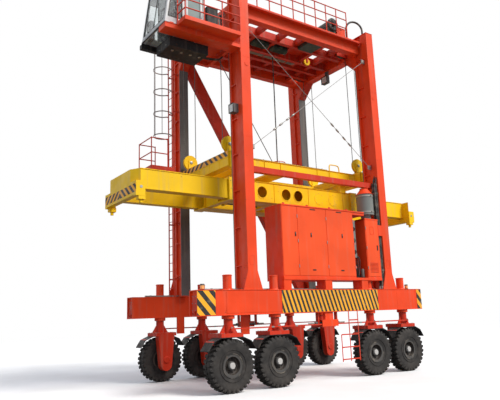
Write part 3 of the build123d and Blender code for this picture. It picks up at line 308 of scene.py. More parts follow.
class Piece:
    # one object while it is being made from several closed forms
    def __init__(self, name, place=None):
        self.name, self.place, self.mesh, self.slots = name, place, bmesh.new(), []

    def add(self, form, lookName, matrix=None):
        material = looks[lookName]
        if matrix is not None:
            bmesh.ops.transform(form, matrix=matrix, verts=form.verts)
        if material not in self.slots:
            self.slots.append(material)
        for face in form.faces:
            face.material_index = self.slots.index(material)
            face.smooth = True
        holder = bpy.data.meshes.new("holder")
        form.to_mesh(holder)
        form.free()
        self.mesh.from_mesh(holder)
        bpy.data.meshes.remove(holder)
        return self

    def box(self, corner, opposite, material, bevel=0.004, matrix=None):
        low = Vector(map(min, corner, opposite))
        size = Vector(map(max, corner, opposite)) - low
        form = bmesh.new()
        bmesh.ops.create_cube(form, size=1, matrix=Matrix.Translation(low + size / 2) @ Matrix.Diagonal((*size, 1)))
        if bevel:
            bmesh.ops.bevel(form, geom=form.edges[:], offset=min(bevel, min(size) * 0.3), segments=1, profile=0.5,
                            affect="EDGES", material=-1)
        return self.add(form, material, matrix)

    def rod(self, start, end, radius, material, sides=16, endRadius=None, bevel=0.0):
        start, end = Vector(start), Vector(end)
        run = end - start
        turn = run.to_track_quat("Z", "Y").to_matrix().to_4x4()
        form = bmesh.new()
        bmesh.ops.create_cone(form, cap_ends=True, cap_tris=False, segments=sides, radius1=radius,
                              radius2=radius if endRadius is None else endRadius, depth=run.length,
                              matrix=Matrix.Translation((start + end) / 2) @ turn)
        if bevel:
            rims = [edge for edge in form.edges if any(len(face.verts) > 4 for face in edge.link_faces)]
            bmesh.ops.bevel(form, geom=rims, offset=bevel, segments=2, profile=0.5, affect="EDGES", material=-1)
        return self.add(form, material)

    def turned(self, profile, material, matrix, steps=40):
        # profile: a closed loop of (radius, height) points, turned about the height axis
        form = bmesh.new()
        points = [form.verts.new((radius, 0, height)) for radius, height in profile]
        edges = [form.edges.new(pair) for pair in zip(points, points[1:] + points[:1])]
        bmesh.ops.spin(form, geom=points + edges, cent=(0, 0, 0), axis=(0, 0, 1), angle=2 * math.pi, steps=steps,
                       use_merge=True)
        bmesh.ops.remove_doubles(form, verts=form.verts, dist=1e-5)
        bmesh.ops.recalc_face_normals(form, faces=form.faces)
        return self.add(form, material, matrix)

    def disc(self, radius, height, material, matrix, steps=40):
        return self.turned([(0.0, 0.0), (radius, 0.0), (radius, height), (0.0, height)], material, matrix, steps)

    def cap(self, rim, crown, material, matrix, steps=40):
        # a round cap: upright to the rim's radius and height, then in to the crown's
        outline = [(0.0, 0.0), (rim[0], 0.0), rim, crown, (0.0, crown[1])]
        return self.turned(outline, material, matrix, steps)

    def plate(self, outline, depth, material, matrix=None, bevel=0.003):
        # a flat outline in X and Z, as thick as depth along +Y
        form = bmesh.new()
        face = form.faces.new([form.verts.new((x, 0, z)) for x, z in outline])
        grown = bmesh.ops.extrude_face_region(form, geom=[face])
        moved = [item for item in grown["geom"] if isinstance(item, bmesh.types.BMVert)]
        bmesh.ops.translate(form, vec=(0, depth, 0), verts=moved)
        bmesh.ops.recalc_face_normals(form, faces=form.faces)
        if bevel:
            bmesh.ops.bevel(form, geom=form.edges[:], offset=bevel, segments=1, profile=0.5, affect="EDGES",
                            material=-1)
        return self.add(form, material, matrix)

    def frameRing(self, width, height, bar, depth, corner, material, matrix):
        # a window frame with round corners: an inset face, its middle taken out, then thickened
        form = bmesh.new()
        bmesh.ops.create_grid(form, x_segments=1, y_segments=1, size=0.5,
                              matrix=Matrix.Rotation(math.pi / 2, 4, "X") @ Matrix.Diagonal((width, height, 1, 1)))
        bmesh.ops.bevel(form, geom=form.verts[:], offset=corner, segments=4, profile=0.5, affect="VERTICES",
                        material=-1)
        middle = form.faces[:]
        bmesh.ops.inset_region(form, faces=middle, thickness=bar, use_boundary=True, use_even_offset=True)
        bmesh.ops.delete(form, geom=middle, context="FACES")
        grown = bmesh.ops.extrude_face_region(form, geom=form.faces[:])
        moved = [item for item in grown["geom"] if isinstance(item, bmesh.types.BMVert)]
        bmesh.ops.translate(form, vec=(0, depth, 0), verts=moved)
        bmesh.ops.recalc_face_normals(form, faces=form.faces)
        return self.add(form, material, matrix)

    def sweep(self, points, radius, material, kind="NURBS", sides=2):
        curve = bpy.data.curves.new("route", "CURVE")
        curve.dimensions, curve.bevel_depth, curve.bevel_resolution, curve.use_fill_caps = "3D", radius, sides, True
        line = curve.splines.new(kind)
        line.points.add(len(points) - 1)
        for spot, place in zip(line.points, points):
            spot.co = (*place, 1)
        if kind == "NURBS":
            line.order_u, line.use_endpoint_u, line.resolution_u = 4, True, 6
        holder = bpy.data.objects.new("route", curve)
        bpy.context.collection.objects.link(holder)
        tube = bpy.data.meshes.new_from_object(holder)
        form = bmesh.new()
        form.from_mesh(tube)
        bpy.data.objects.remove(holder)
        bpy.data.meshes.remove(tube)
        bmesh.ops.remove_doubles(form, verts=form.verts, dist=1e-5)
        bmesh.ops.recalc_face_normals(form, faces=form.faces)
        return self.add(form, material)

    def slats(self, count, first, rise, lean, low, high, material):
        # leaning louvres, each higher than the last by rise
        x, y, z = first
        for number in range(count):
            turn = Matrix.Translation((x, y, z + rise * number)) @ Matrix.Rotation(lean, 4, "X")
            self.box(low, high, material, 0.001, turn)
        return self

    def bolts(self, places, direction, size=0.018):
        for place in places:
            self.rod(place, Vector(place) + Vector(direction) * size * 0.8, size, "bolt", 6)
        return self

    def done(self, body, slot=None, replaces=(), blend=None):
        mesh = bpy.data.meshes.new(self.name)
        if self.place:
            bmesh.ops.transform(self.mesh, matrix=self.place, verts=self.mesh.verts)
        self.mesh.to_mesh(mesh)
        self.mesh.free()
        for material in self.slots:
            mesh.materials.append(material)
        mesh.set_sharp_from_angle(angle=math.radians(32))
        thing = bpy.data.objects.new(self.name, mesh)
        bpy.context.collection.objects.link(thing)
        if blend:
            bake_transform(thing)
        else:
            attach(thing, body)
        if replaces:
            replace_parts(thing, *replaces)
        return thing


def circle(centre, radius, count, plane):
    # places round a circle; plane names the axes that cosine and sine follow
    spots = []
    for turn in (2 * math.pi * number / count for number in range(count)):
        shift = dict.fromkeys("xyz", 0.0) | {plane[0]: radius * math.cos(turn), plane[1]: radius * math.sin(turn)}
        spots.append(tuple(middle + shift[axis] for middle, axis in zip(centre, "xyz")))
    return spots


def facing(direction, centre):
    # turns a form whose height axis is Z so that it looks along direction, and puts it at centre
    return Matrix.Translation(centre) @ Vector(direction).to_track_quat("Z", "Y").to_matrix().to_4x4()


def at(x, y, z):
    return Matrix.Translation((x, y, z))


acrossTurn, backTurn = Matrix.Rotation(math.pi / 2, 4, "Z"), Matrix.Rotation(math.pi, 4, "Z")


def dressFrame():
    chosen = {
        "sills": "orange", "columns": "orange", "top_frame": "orange", "top_grid": "red", "handrails": "rail",
        "bracing": "stays", "ladders": "cage", "lamps": "grey", "hydraulic_hoses": "rubber",
        "cab_shell": "cab", "cab_windows": "glass", "cab_door": "cabDoor", "cab_platform": "platform",
        "cab_service_box": "black", "engine_housing": "orange", "control_cabinet": "orange",
        "engine_ancillaries": "airCleaner", "winches": "green", "head_block": "yellow", "head_sheaves": "yellow",
        "cable_basket": "rail", "spreader_frame": "yellow",
    }
    sides = machine["sideY"]
    chosen |= {f"spreader_end_{end}": "spreaderEnd" for end in machine["endX"]}
    chosen |= {f"leg_{where}_{side}": "red" for where in machine["wheelX"] for side in sides}
    chosen |= {f"steer_rod_{end}_{side}": "red" for end in machine["endX"] for side in sides}
    for node, name in chosen.items():
        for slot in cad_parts[node].material_slots:
            slot.material = looks[name]


dressFrame()
print("frame dressed")

# Wheels: a tyre with chunky shoulder lugs, and a deep dished rim
wheel = {
    "halfWidth": 0.215, "carcassRadius": 0.716, "lugs": 30, "lugLength": 0.165, "lugThick": 0.088, "lugDepth": 0.06,
    "lugLean": 0.28, "nutCircle": 0.188, "nuts": 10, "nutSize": 0.017,
}


def tyreMesh():
    tyre = Piece("tyre")
    half = wheel["halfWidth"]
    right = [(0.338, 0.168), (0.352, 0.188), (0.40, 0.196), (0.485, 0.205), (0.56, 0.212), (0.625, 0.214),
             (0.672, 0.205), (0.700, 0.180), (wheel["carcassRadius"], 0.120)]
    profile = right + [(radius, -height) for radius, height in reversed(right)]
    tyre.turned(profile, "tyre", Matrix.Identity(4), 72)
    outer = machine["tyreRadius"]
    for number in range(wheel["lugs"] * 2):
        side = 1 if number % 2 else -1
        spin = Matrix.Rotation(math.pi * number / wheel["lugs"], 4, "Z")
        lean = Matrix.Rotation(side * wheel["lugLean"], 4, "X")
        thick, reach = wheel["lugThick"] / 2, wheel["lugLength"]
        tread = spin @ Matrix.Translation((outer, 0, side * (half - reach / 2 - 0.012))) @ lean
        tyre.box((-wheel["lugDepth"], -thick, -reach / 2), (-0.002, thick, reach / 2), "tyre", 0.006, tread)
        wrap = spin @ Matrix.Translation((outer - 0.06, 0, side * (half - 0.014)))
        tyre.box((-0.035, -thick * 0.85, -0.012), (0.035, thick * 0.85, 0.013), "tyre", 0.006, wrap)
    # two raised rings on each sidewall
    for side in (-1, 1):
        for radius in (0.44, 0.60):
            ring = [(radius - 0.008, side * 0.19), (radius + 0.008, side * 0.19), (radius + 0.005, side * 0.2145),
                    (radius - 0.005, side * 0.2145)]
            tyre.turned(ring, "tyre", Matrix.Identity(4), 48)
    return tyre


def rimPiece(name, matrix):
    rim = Piece(name)
    barrel = [(0.335, 0.175), (0.343, 0.180), (0.326, 0.180), (0.252, 0.178), (0.246, 0.150), (0.238, 0.070),
              (0.200, 0.048), (0.120, 0.048), (0.120, -0.020), (0.262, -0.020), (0.292, -0.120), (0.302, -0.182),
              (0.326, -0.190), (0.343, -0.186), (0.335, -0.175)]
    rim.turned(barrel, "rim", matrix, 56)
    lockRing = [(0.330, 0.184), (0.346, 0.190), (0.340, 0.200), (0.318, 0.198)]
    rim.turned(lockRing, "rubber", matrix, 56)
    face = [(0.250, 0.177), (0.338, 0.177), (0.334, 0.188), (0.256, 0.184)]
    rim.turned(face, "ring", matrix, 56)
    hub = [(0.0, 0.150), (0.116, 0.150), (0.126, 0.140), (0.130, 0.050), (0.130, -0.194), (0.0605, -0.194),
           (0.0605, 0.002), (0.0, 0.002)]
    rim.turned(hub, "ring", matrix, 40)
    cap = [(0.0, 0.149), (0.092, 0.149), (0.092, 0.174), (0.078, 0.187), (0.0, 0.187)]
    rim.turned(cap, "hub", matrix, 40)
    for number in range(wheel["nuts"]):
        angle = 2 * math.pi * number / wheel["nuts"]
        spot = matrix @ Vector((wheel["nutCircle"] * math.cos(angle), wheel["nutCircle"] * math.sin(angle), 0.045))
        tip = matrix @ Vector((wheel["nutCircle"] * math.cos(angle), wheel["nutCircle"] * math.sin(angle), 0.078))
        rim.rod(spot, tip, wheel["nutSize"], "black", 6)
    return rim


def wheels():
    source = tyreMesh()
    mould = bpy.data.meshes.new("tyre_mould")
    source.mesh.to_mesh(mould)
    source.mesh.free()
    for where, x in machine["wheelX"].items():
        for side, sign in machine["sideY"].items():
            body = f"wheel_{where}_{side}"
            centre = (x, sign * machine["trackHalf"], machine["tyreRadius"])
            tyre = Piece(f"tyre_{where}_{side}")
            form = bmesh.new()
            form.from_mesh(mould)
            tyre.add(form, "tyre", facing((0, sign, 0), centre))
            tyre.done(body, "tyre", [body])
            rim = rimPiece(f"rim_{where}_{side}", facing((0, sign, 0), centre))
            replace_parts(rim.done(body, "grey_paint"), body)
    bpy.data.meshes.remove(mould)


wheels()
print("wheels done")

# Legs: black guards over the tyres, bolted flanges, and the hub cover inboard
leg = {"guard": [(0.806, 1.183), (0.644, 1.416), (0.372, 1.529)], "guardThick": 0.018, "guardY": (1.982, 2.433),
       "armTop": 1.64, "plateInner": 1.705}


def guardOutline(x):
    top = [(x + reach, z + 0.002) for reach, z in leg["guard"]]
    top += [(x - reach, z + 0.002) for reach, z in reversed(leg["guard"])]
    lower = [(x + reach - 0.004, z - leg["guardThick"]) for reach, z in leg["guard"]]
    lower += [(x - reach + 0.004, z - leg["guardThick"]) for reach, z in reversed(leg["guard"])]
    return top + lower[::-1]


def legs():
    for where, x in machine["wheelX"].items():
        for side, sign in machine["sideY"].items():
            body = f"leg_{where}_{side}"
            guard = Piece(f"mudguard_{where}_{side}")
            low, high = sorted((sign * leg["guardY"][0], sign * leg["guardY"][1]))
            guard.plate(guardOutline(x), high - low, "black", at(0, low, 0), 0.0)
            guard.done(body, "dark_paint")
            trim = Piece(f"leg_fittings_{where}_{side}")
            face = sign * leg["plateInner"]
            cover = [(0.0, 0.0), (0.115, 0.0), (0.115, 0.018), (0.100, 0.030), (0.0, 0.030)]
            trim.turned(cover, "red", facing((0, -sign, 0), (x, face, machine["tyreRadius"])), 32)
            trim.bolts(circle((x, face - sign * 0.012, machine["tyreRadius"]), 0.09, 8, "xz"), (0, -sign, 0), 0.014)
            flange = [(x + reach, sign * y, leg["armTop"] - 0.001) for reach in (-0.33, -0.25, 0.25, 0.33)
                      for y in (1.78, 1.92, 2.06, 2.38)]
            trim.bolts(flange, (0, 0, 1), 0.016)
            # weld beads where the plate meets the arm
            for reach in (-1, 1):
                trim.rod((x + reach * 0.30, sign * 1.72, 1.532), (x + reach * 0.30, sign * 1.94, 1.532), 0.008,
                         "red", 8)
            trim.done(body, "orange_paint")


legs()


def steering():
    for end, endSign in machine["endX"].items():
        for side, sign in machine["sideY"].items():
            rod = Piece(f"rod_ends_{end}_{side}")
            for x in (machine["wheelX"][end], machine["wheelX"][f"{end}_inner"]):
                y = sign * (machine["trackHalf"] + 0.19)
                rod.cap((0.036, 0.012), (0.022, 0.022), "steel",
                           facing((0, 0, 1), (x, y, 1.7795)), 20)
                rod.rod((x, y, 1.800), (x, y, 1.818), 0.016, "bolt", 6)
            # clamp sleeves where the bar's two halves screw together
            for share in (0.35, 0.62):
                x = endSign * (0.2 + 3.4 * share)
                y = sign * (machine["trackHalf"] + 0.19)
                rod.box((x - 0.05, y - 0.027, 1.737), (x + 0.05, y + 0.027, 1.783), "steel", 0.004)
            rod.done(f"steer_rod_{end}_{side}", "grey_paint")


steering()
print("running gear done")

# Sills: flange plates, seams, stripes and bolted end plates
sill = {"lip": 0.013, "lipThick": 0.02, "frontStripe": (-4.9, -4.3), "middleStripe": (-1.93, 2.31),
        "rearStripe": (4.37, 4.62), "doubler": (-3.93, -1.95), "seams": [-4.28, -3.95, -0.4, 1.2, 3.3, 4.3]}


def sillDress():
    for side, sign in machine["sideY"].items():
        piece = Piece(f"sill_plates_{side}")
        outer, inner = sign * machine["sillOuter"], sign * machine["sillInner"]
        bottom, top = machine["sillBottom"], machine["sillTop"]
        front, rear = machine["sillFront"], machine["sillRear"]
        for z in (bottom, top - sill["lipThick"]):
            piece.box((front, outer, z), (rear, outer + sign * sill["lip"], z + sill["lipThick"]), "orange", 0.003)
        piece.box((sill["doubler"][0], outer, bottom + 0.06), (sill["doubler"][1], outer + sign * 0.008, top - 0.06),
                  "orange", 0.003)
        for x in sill["seams"]:
            piece.box((x - 0.006, outer, bottom + 0.02), (x + 0.006, outer + sign * 0.003, top - 0.02), "orange",
                      0.001)
        piece.done("frame", "orange_paint")
        marks = Piece(f"sill_stripes_{side}")
        for name, material in (("frontStripe", "sillStripes"), ("middleStripe", "plateStripes"),
                               ("rearStripe", "sillStripes")):
            x0, x1 = sill[name]
            marks.box((x0 + 0.002, outer, bottom + 0.022), (x1 - 0.002, outer + sign * 0.009, top - 0.022),
                      material, 0.002)
        marks.done("frame", "yellow_paint")
        ends = Piece(f"sill_end_fittings_{side}")
        for x, step in ((front, 1), (rear, -1)):
            middle = (outer + inner) / 2
            ends.box((x + step * 0.055, middle - 0.12, bottom + 0.14), (x + step * 0.035, middle + 0.12, top - 0.14),
                     "red", 0.004)
            spots = [(x + step * 0.035, middle + dy, z) for dy in (-0.1, 0.1) for z in (bottom + 0.17, 2.5, top - 0.17)]
            ends.bolts(spots, (-step, 0, 0), 0.014)
            ends.frameRing(0.16, 0.12, 0.03, 0.03, 0.05, "red",
                           Matrix.Translation((x + step * 0.03, middle, bottom + 0.085)) @ acrossTurn)
        for where, x in machine["wheelX"].items():
            capTop = top + machine["capHeight"][where]
            centre = (x, sign * machine["trackHalf"], capTop)
            ends.cap((0.145, 0.022), (0.12, 0.034), "orange",
                        facing((0, 0, 1), centre), 32)
            ends.bolts(circle((x, centre[1], capTop + 0.024), 0.118, 8, "xy"), (0, 0, 1), 0.012)
            ends.bolts(circle((x, centre[1], 2.046), 0.165, 12, "xy"), (0, 0, -1), 0.013)
            ends.turned([(0.175, 0.0), (0.16, 0.028), (0.134, 0.0)], "orange",
                        facing((0, 0, 1), (x, centre[1], top)), 32)
        # cable trunk along the inboard edge of the top
        ends.box((front + 0.5, inner + sign * 0.03, top), (rear - 0.4, inner + sign * 0.09, top + 0.05), "steel",
                 0.004)
        for x in (-4.2, -3.5, 2.9, 3.55, 4.2):
            ends.box((x - 0.02, inner + sign * 0.02, top), (x + 0.02, inner + sign * 0.1, top + 0.058), "steel",
                     0.002)
        ends.done("frame", "orange_paint")


sillDress()

# Steering boxes: a cover plate with bolts, and the cylinder that shows at the mouth
steerBoxFace = 2.434


def steerBoxes():
    for side, sign in machine["sideY"].items():
        piece = Piece(f"steering_box_fittings_{side}")
        for x in (-0.30, -0.1, 0.1, 0.30):
            for z in (1.715, 1.875):
                piece.bolts([(x, sign * steerBoxFace, z)], (0, sign, 0), 0.011)
        y = sign * 2.27
        piece.rod((-0.52, y, 1.80), (0.52, y, 1.80), 0.045, "grey", 24, bevel=0.006)
        piece.rod((-0.78, y, 1.80), (-0.52, y, 1.80), 0.02, "steel", 16)
        piece.rod((0.52, y, 1.80), (0.78, y, 1.80), 0.02, "steel", 16)
        for x in (-0.4, 0.4):
            piece.box((x - 0.025, y - 0.06, 1.74), (x + 0.025, y + 0.06, 2.14), "red", 0.004)
        piece.done("frame", "orange_paint")


steerBoxes()
print("sills done")

# Columns: grey guide plates, end plates at the foot, splices and cable clips
columnSplices = [7.62, 10.3]


def columns():
    for end, endSign in machine["endX"].items():
        for side, sign in machine["sideY"].items():
            piece = Piece(f"column_fittings_{end}_{side}")
            x0, x1 = sorted((endSign * machine["columnInner"], endSign * machine["columnOuter"]))
            outer, inner = sign * machine["columnOuterY"], sign * machine["columnInnerY"]
            # the guide face that the head block's shoes run on
            piece.box((x0 - 0.004, inner, machine["sillTop"] + 0.02), (x1 + 0.004, inner - sign * 0.004, 11.44),
                      "grey", 0.001)
            piece.box((x0 - 0.003, inner + sign * 0.001, machine["sillTop"] + 0.02),
                      (x1 + 0.003, inner + sign * 0.03, 11.44), "grey", 0.001)
            # base plates with bolts
            low, high = machine["sillTop"], machine["sillTop"] + 0.03
            piece.box((x0 - 0.17, outer, low), (x1 + 0.17, outer + sign * 0.012, high), "orange", 0.003)
            piece.box((x0 - 0.12, outer - sign * 0.3, low), (x1 + 0.12, outer - sign * 0.04, high), "orange", 0.004)
            foot = [(x, outer - sign * y, high) for x in (x0 - 0.08, x1 + 0.08) for y in (0.1, 0.24)]
            piece.bolts(foot, (0, 0, 1), 0.02)
            for z in columnSplices:
                piece.box((x0 - 0.003, outer, z - 0.004), (x1 + 0.003, outer + sign * 0.003, z + 0.004), "orange",
                          0.001)
            # top cap
            piece.box((x0 - 0.012, outer + sign * 0.01, machine["columnTop"] - 0.001), (x1 + 0.012, inner,
                      machine["columnTop"] + 0.015), "orange", 0.003)
            # inspection hatch near the foot
            piece.frameRing(0.2, 0.3, 0.025, 0.006, 0.03, "orange",
                            at((x0 + x1) / 2, outer if sign > 0 else outer - 0.006, 3.75))
            piece.done("frame", "orange_paint")


columns()


def columnHoses():
    # hose ends that drop from the clipped bundle to the sill, and the arms that hold the bundle
    piece = Piece("hose_ends")
    for number, y in enumerate((-2.355, -2.27)):
        x = 2.75 - 0.02 * number
        piece.sweep([(x, y, 6.66), (x, y, 6.78), (x + 0.03, y, 6.9), (x + 0.1, y, 6.98), (x + 0.1, y, 7.06)], 0.03,
                    "rubber")
        piece.rod((x, y, 2.87), (x, y, 2.98), 0.046, "steel", 6)
        piece.rod((x - 0.084, y, 2.87), (x - 0.084, y, 2.98), 0.046, "steel", 6)
    for z in (3.53, 4.83, 6.33):
        piece.bolts([(2.62, -2.31, z), (2.79, -2.31, z)], (0, 0, 1), 0.012)
    # the bracket between two lengths of the bundle
    piece.box((2.60, -2.43, 4.75), (2.80, -2.41, 5.14), "orange", 0.004)
    piece.box((2.60, -2.42, 4.75), (2.615, -2.22, 5.14), "orange", 0.003)
    piece.done("frame", "hose_rubber")


columnHoses()
print("columns done")

# Top frame: lips, tread plate, and the plates under the handrail posts
railPosts = {"near": [-2.76 + 0.5344 * number for number in range(10)],
             "far": [-2.76 + 0.552 * number for number in range(11)]}


def topFrame():
    for side, sign in machine["sideY"].items():
        piece = Piece(f"side_beam_fittings_{side}")
        edge = sign * machine["deckEdge"]
        piece.box((-2.8, edge, 12.36), (2.8, edge - sign * 0.012, 12.40), "red", 0.003)
        piece.box((-2.79, sign * 1.72, 12.4295), (2.79, sign * 2.14, 12.434), "tread", 0.001)
        for x in railPosts[side]:
            centre = sign * 2.15
            low, high = machine["deckTop"], 12.44
            piece.box((x - 0.045, centre - 0.038, low), (x + 0.045, centre + 0.038, high), "rail", 0.002)
            piece.bolts([(x + dx, centre + dy, 12.438) for dx in (-0.034, 0.034) for dy in (-0.024, 0.024)], (0, 0, 1),
                        0.007)
        piece.done("frame", "orange_paint")
    for end, endSign in machine["endX"].items():
        piece = Piece(f"portal_fittings_{end}")
        x0, x1 = sorted((endSign * 2.8, endSign * 3.15))
        for sign in (-1, 1):
            # the haunch's sloped flange, and bolted splice plates at the columns
            start, finish = Vector((0, sign * 1.724, 11.435)), Vector((0, sign * 1.135, 12.024))
            middle, run = (start + finish) / 2, (finish - start)
            turn = Matrix.Translation((0, middle.y, middle.z)) @ Matrix.Rotation(math.atan2(run.z, run.y), 4, "X")
            piece.box((x0 - 0.01, -run.length / 2, -0.012), (x1 + 0.01, run.length / 2, 0.008), "red", 0.003, turn)
            outerX = endSign * 3.15
            piece.box((outerX, sign * 1.74, 12.08), (outerX + endSign * 0.012, sign * 1.30, 12.38), "orange", 0.003)
            spots = [(outerX + endSign * 0.012, sign * y, z) for y in (1.36, 1.48, 1.60) for z in (12.13, 12.23, 12.33)]
            piece.bolts(spots, (endSign, 0, 0), 0.014)
        for y in (-1.1, -0.55, 0.0, 0.55, 1.1):
            piece.box((x0 - 0.002, y - 0.006, 12.03), (x1 + 0.002, y + 0.006, 12.41), "orange", 0.001)
        piece.done("frame", "orange_paint")


topFrame()

grid = {"beamY": [-0.95, 0.0, 0.56, 1.15], "crossX": [-2.14, -1.36, -0.42, 0.42, 1.42, 2.14], "half": 0.06}


def topGrid():
    piece = Piece("grid_fittings")
    for y in grid["beamY"]:
        piece.box((-2.8, y - grid["half"] - 0.02, 12.098), (2.8, y + grid["half"] + 0.02, 12.112), "red", 0.002)
        for x in grid["crossX"]:
            for dx in (-0.105, 0.105):
                piece.bolts([(x + dx, y - 0.055, 12.1), (x + dx, y + 0.055, 12.1)], (0, 0, -1), 0.011)
    for x in grid["crossX"]:
        for y in (-1.69, -1.02):
            piece.box((x - 0.1, y - 0.006, 12.19), (x + 0.1, y + 0.006, 12.39), "red", 0.002)
    # oil pipes on the underside of the floor
    for number, y in enumerate((0.20, 0.26, 0.32)):
        piece.sweep([(-2.75, y, 12.155), (-1.2, y, 12.155), (0.6, y, 12.155), (1.2, y, 12.155), (1.3, y, 12.155),
                     (1.33, y - 0.1, 12.155), (1.33, y - 0.3 - 0.06 * number, 12.155)], 0.018, "steel")
    for x in (-2.4, -1.0, -0.2, 0.9):
        piece.box((x - 0.02, 0.16, 12.13), (x + 0.02, 0.36, 12.142), "red", 0.002)
        piece.box((x - 0.015, 0.155, 12.13), (x + 0.015, 0.17, 12.371), "red", 0.002)
    piece.done("frame", "orange_paint")
    covers = Piece("sheave_cover_fittings")
    for sx in (-1, 1):
        for sy in (-1, 1):
            ring = [(0.0, 0.0), (0.085, 0.0), (0.085, 0.016), (0.07, 0.022), (0.0, 0.022)]
            for step in (-1, 1):
                spot = (sx * 2.5, sy * 1.3 + step * 0.075, 12.35)
                covers.turned(ring, "red", facing((0, step, 0), spot), 24)
                covers.bolts(circle((spot[0], spot[1] + step * 0.018, 12.35), 0.068, 6, "xz"), (0, step, 0), 0.009)
            for x in (2.12, 2.45, 2.72):
                covers.bolts([(sx * x, sy * 1.3 - 0.055, 12.695), (sx * x, sy * 1.3 + 0.055, 12.695)], (0, 0, 1), 0.010)
    # the small guide sheave that hangs in the hatch
    covers.turned([(0.0, -0.03), (0.15, -0.03), (0.15, -0.018), (0.12, 0.0), (0.15, 0.018), (0.15, 0.03), (0.0, 0.03)],
                  "yellow", facing((0, 1, 0), (1.70, -0.15, 12.19)), 40)
    covers.rod((1.70, -0.21, 12.19), (1.70, -0.09, 12.19), 0.03, "steel", 16)
    for y in (-0.205, -0.095):
        covers.box((1.66, y - 0.008, 12.15), (1.74, y + 0.008, 12.37), "red", 0.003)
    covers.box((1.50, -0.215, 12.345), (2.06, -0.085, 12.37), "red", 0.003)
    covers.done("frame", "orange_paint")


topGrid()

winch = {"drumX": 1.5, "drumZ": 12.93, "drumRadius": 0.2, "ropeRadius": 0.013, "lay": (1.265, 1.835),
         "ends": (1.1, 2.0), "feet": ((1.20, 12.40), (1.90, 12.43)),
         "motorX": [-1.21, -0.31], "motorY": -0.45, "motorZ": 12.19}


def winches():
    for end, sx in machine["endX"].items():
        # the rear drum is on the engine side, the front one on the far side
        x, side = sx * winch["drumX"], -sx
        lay = Piece(f"drum_rope_{end}")
        layStart, layEnd = sorted(side * reach for reach in winch["lay"])
        turns = round((layEnd - layStart) / (2 * winch["ropeRadius"]))
        outline = [(winch["drumRadius"] - 0.02, 0.0)]
        for number in range(turns):
            start = number * 2 * winch["ropeRadius"]
            for share in (0.0, 0.18, 0.5, 0.82):
                height = math.sin(math.pi * share) * winch["ropeRadius"]
                outline.append((winch["drumRadius"] + 0.004 + height, start + share * 2 * winch["ropeRadius"]))
        outline.append((winch["drumRadius"] - 0.02, turns * 2 * winch["ropeRadius"]))
        lay.turned(outline, "rope", facing((0, 1, 0), (x, layStart, winch["drumZ"])), 40)
        lay.done("frame", "wire_rope")
        drum = Piece(f"drum_fittings_{end}")
        for y, step in zip(sorted(side * reach for reach in winch["ends"]), (-1, 1)):
            drum.turned([(0.0, 0.0), (0.25, 0.0), (0.25, 0.010), (0.22, 0.020), (0.10, 0.020), (0.075, 0.075),
                         (0.05, 0.082), (0.0, 0.082)], "black", facing((0, step, 0), (x, y, winch["drumZ"])), 40)
            drum.bolts(circle((x, y + step * 0.018, winch["drumZ"]), 0.19, 10, "xz"), (0, step, 0), 0.014)
        for reach, base in winch["feet"]:
            y = side * reach
            drum.box((x - 0.21, y - 0.075, base), (x + 0.21, y + 0.075, base + 0.02), "black", 0.004)
            spots = [(x + dx, y + dy, base + 0.018) for dx in (-0.185, 0.185) for dy in (-0.05, 0.05)]
            drum.bolts(spots, (0, 0, 1), 0.014)
        drum.done("frame", "dark_paint")
    for number, x in enumerate(winch["motorX"]):
        motor = Piece(f"motor_fins_{number}")
        ribs = [(0.12, 0.04)]
        for count in range(14):
            start = 0.05 + count * 0.036
            ribs += [(0.149, start), (0.163, start + 0.004), (0.163, start + 0.012), (0.149, start + 0.016)]
        ribs.append((0.12, 0.56))
        motor.turned(ribs, "green", facing((1, 0, 0), (x, winch["motorY"], winch["motorZ"])), 36)
        bell = [(0.0, 0.0), (0.155, 0.0), (0.155, 0.04), (0.115, 0.085), (0.05, 0.095), (0.0, 0.095)]
        motor.turned(bell, "green", facing((-1, 0, 0), (x + 0.03, winch["motorY"], winch["motorZ"])), 32)
        motor.turned(bell, "green", facing((1, 0, 0), (x + 0.61, winch["motorY"], winch["motorZ"])), 32)
        motor.box((x + 0.2, winch["motorY"] - 0.22, 12.14), (x + 0.38, winch["motorY"] - 0.13, 12.26), "green", 0.01)
        motor.done("frame", "green_paint")
    cover = Piece("winch_cover_fittings")
    cover.box((1.765, -1.915, 12.94), (2.245, -1.545, 12.962), "orange", 0.004)
    cover.frameRing(0.36, 0.42, 0.02, 0.006, 0.03, "orange",
                    at(2.005, -1.90, 12.69) @ backTurn)
    cover.box((1.98, -1.906, 12.86), (2.03, -1.918, 12.90), "black", 0.003)
    for spot in ((2.975, -2.1, 12.765), (2.3, -1.9, 12.43)):
        cover.cap((0.075, 0.012), (0.05, 0.045), "steel",
                     at(*spot), 24)
    cover.done("frame", "orange_paint")
    box = Piece("gearbox_fittings")
    for z in (12.30, 12.62):
        box.box((0.505, -1.675, z), (1.195, -0.995, z + 0.025), "black", 0.004)
        spots = [(x, y, z + 0.025) for x in (0.512, 1.188) for y in (-1.6, -1.45, -1.3, -1.15)]
        box.bolts(spots, (0, 0, 1), 0.006)
    for number in range(4):
        x = 0.60 + 0.15 * number
        box.box((x, -1.672, 12.09), (x + 0.02, -1.655, 12.29), "green", 0.003)
    box.cap((0.12, 0.03), (0.05, 0.05), "green",
               facing((0, -1, 0), (0.85, -1.658, 12.46)), 32)
    box.cap((0.055, 0.05), (0.035, 0.06), "black",
               facing((0, 0, 1), (0.85, -1.3, 12.70)), 20)
    box.done("frame", "green_paint")


winches()
print("top frame done")

# Cab: gaskets round the glass, wipers, door fittings, roof ribs, and the seat and console inside
# The cab's pieces are laid out about Y 0 at a round size, and cabPlace puts them where the cab hangs
cabPlace = Matrix.Translation((-1.2, -1.525, 0.201)) @ Matrix.Scale(0.905, 4)
cab = {"front": -5.08, "floor": 11.65, "lean": 0.26 / 1.856}


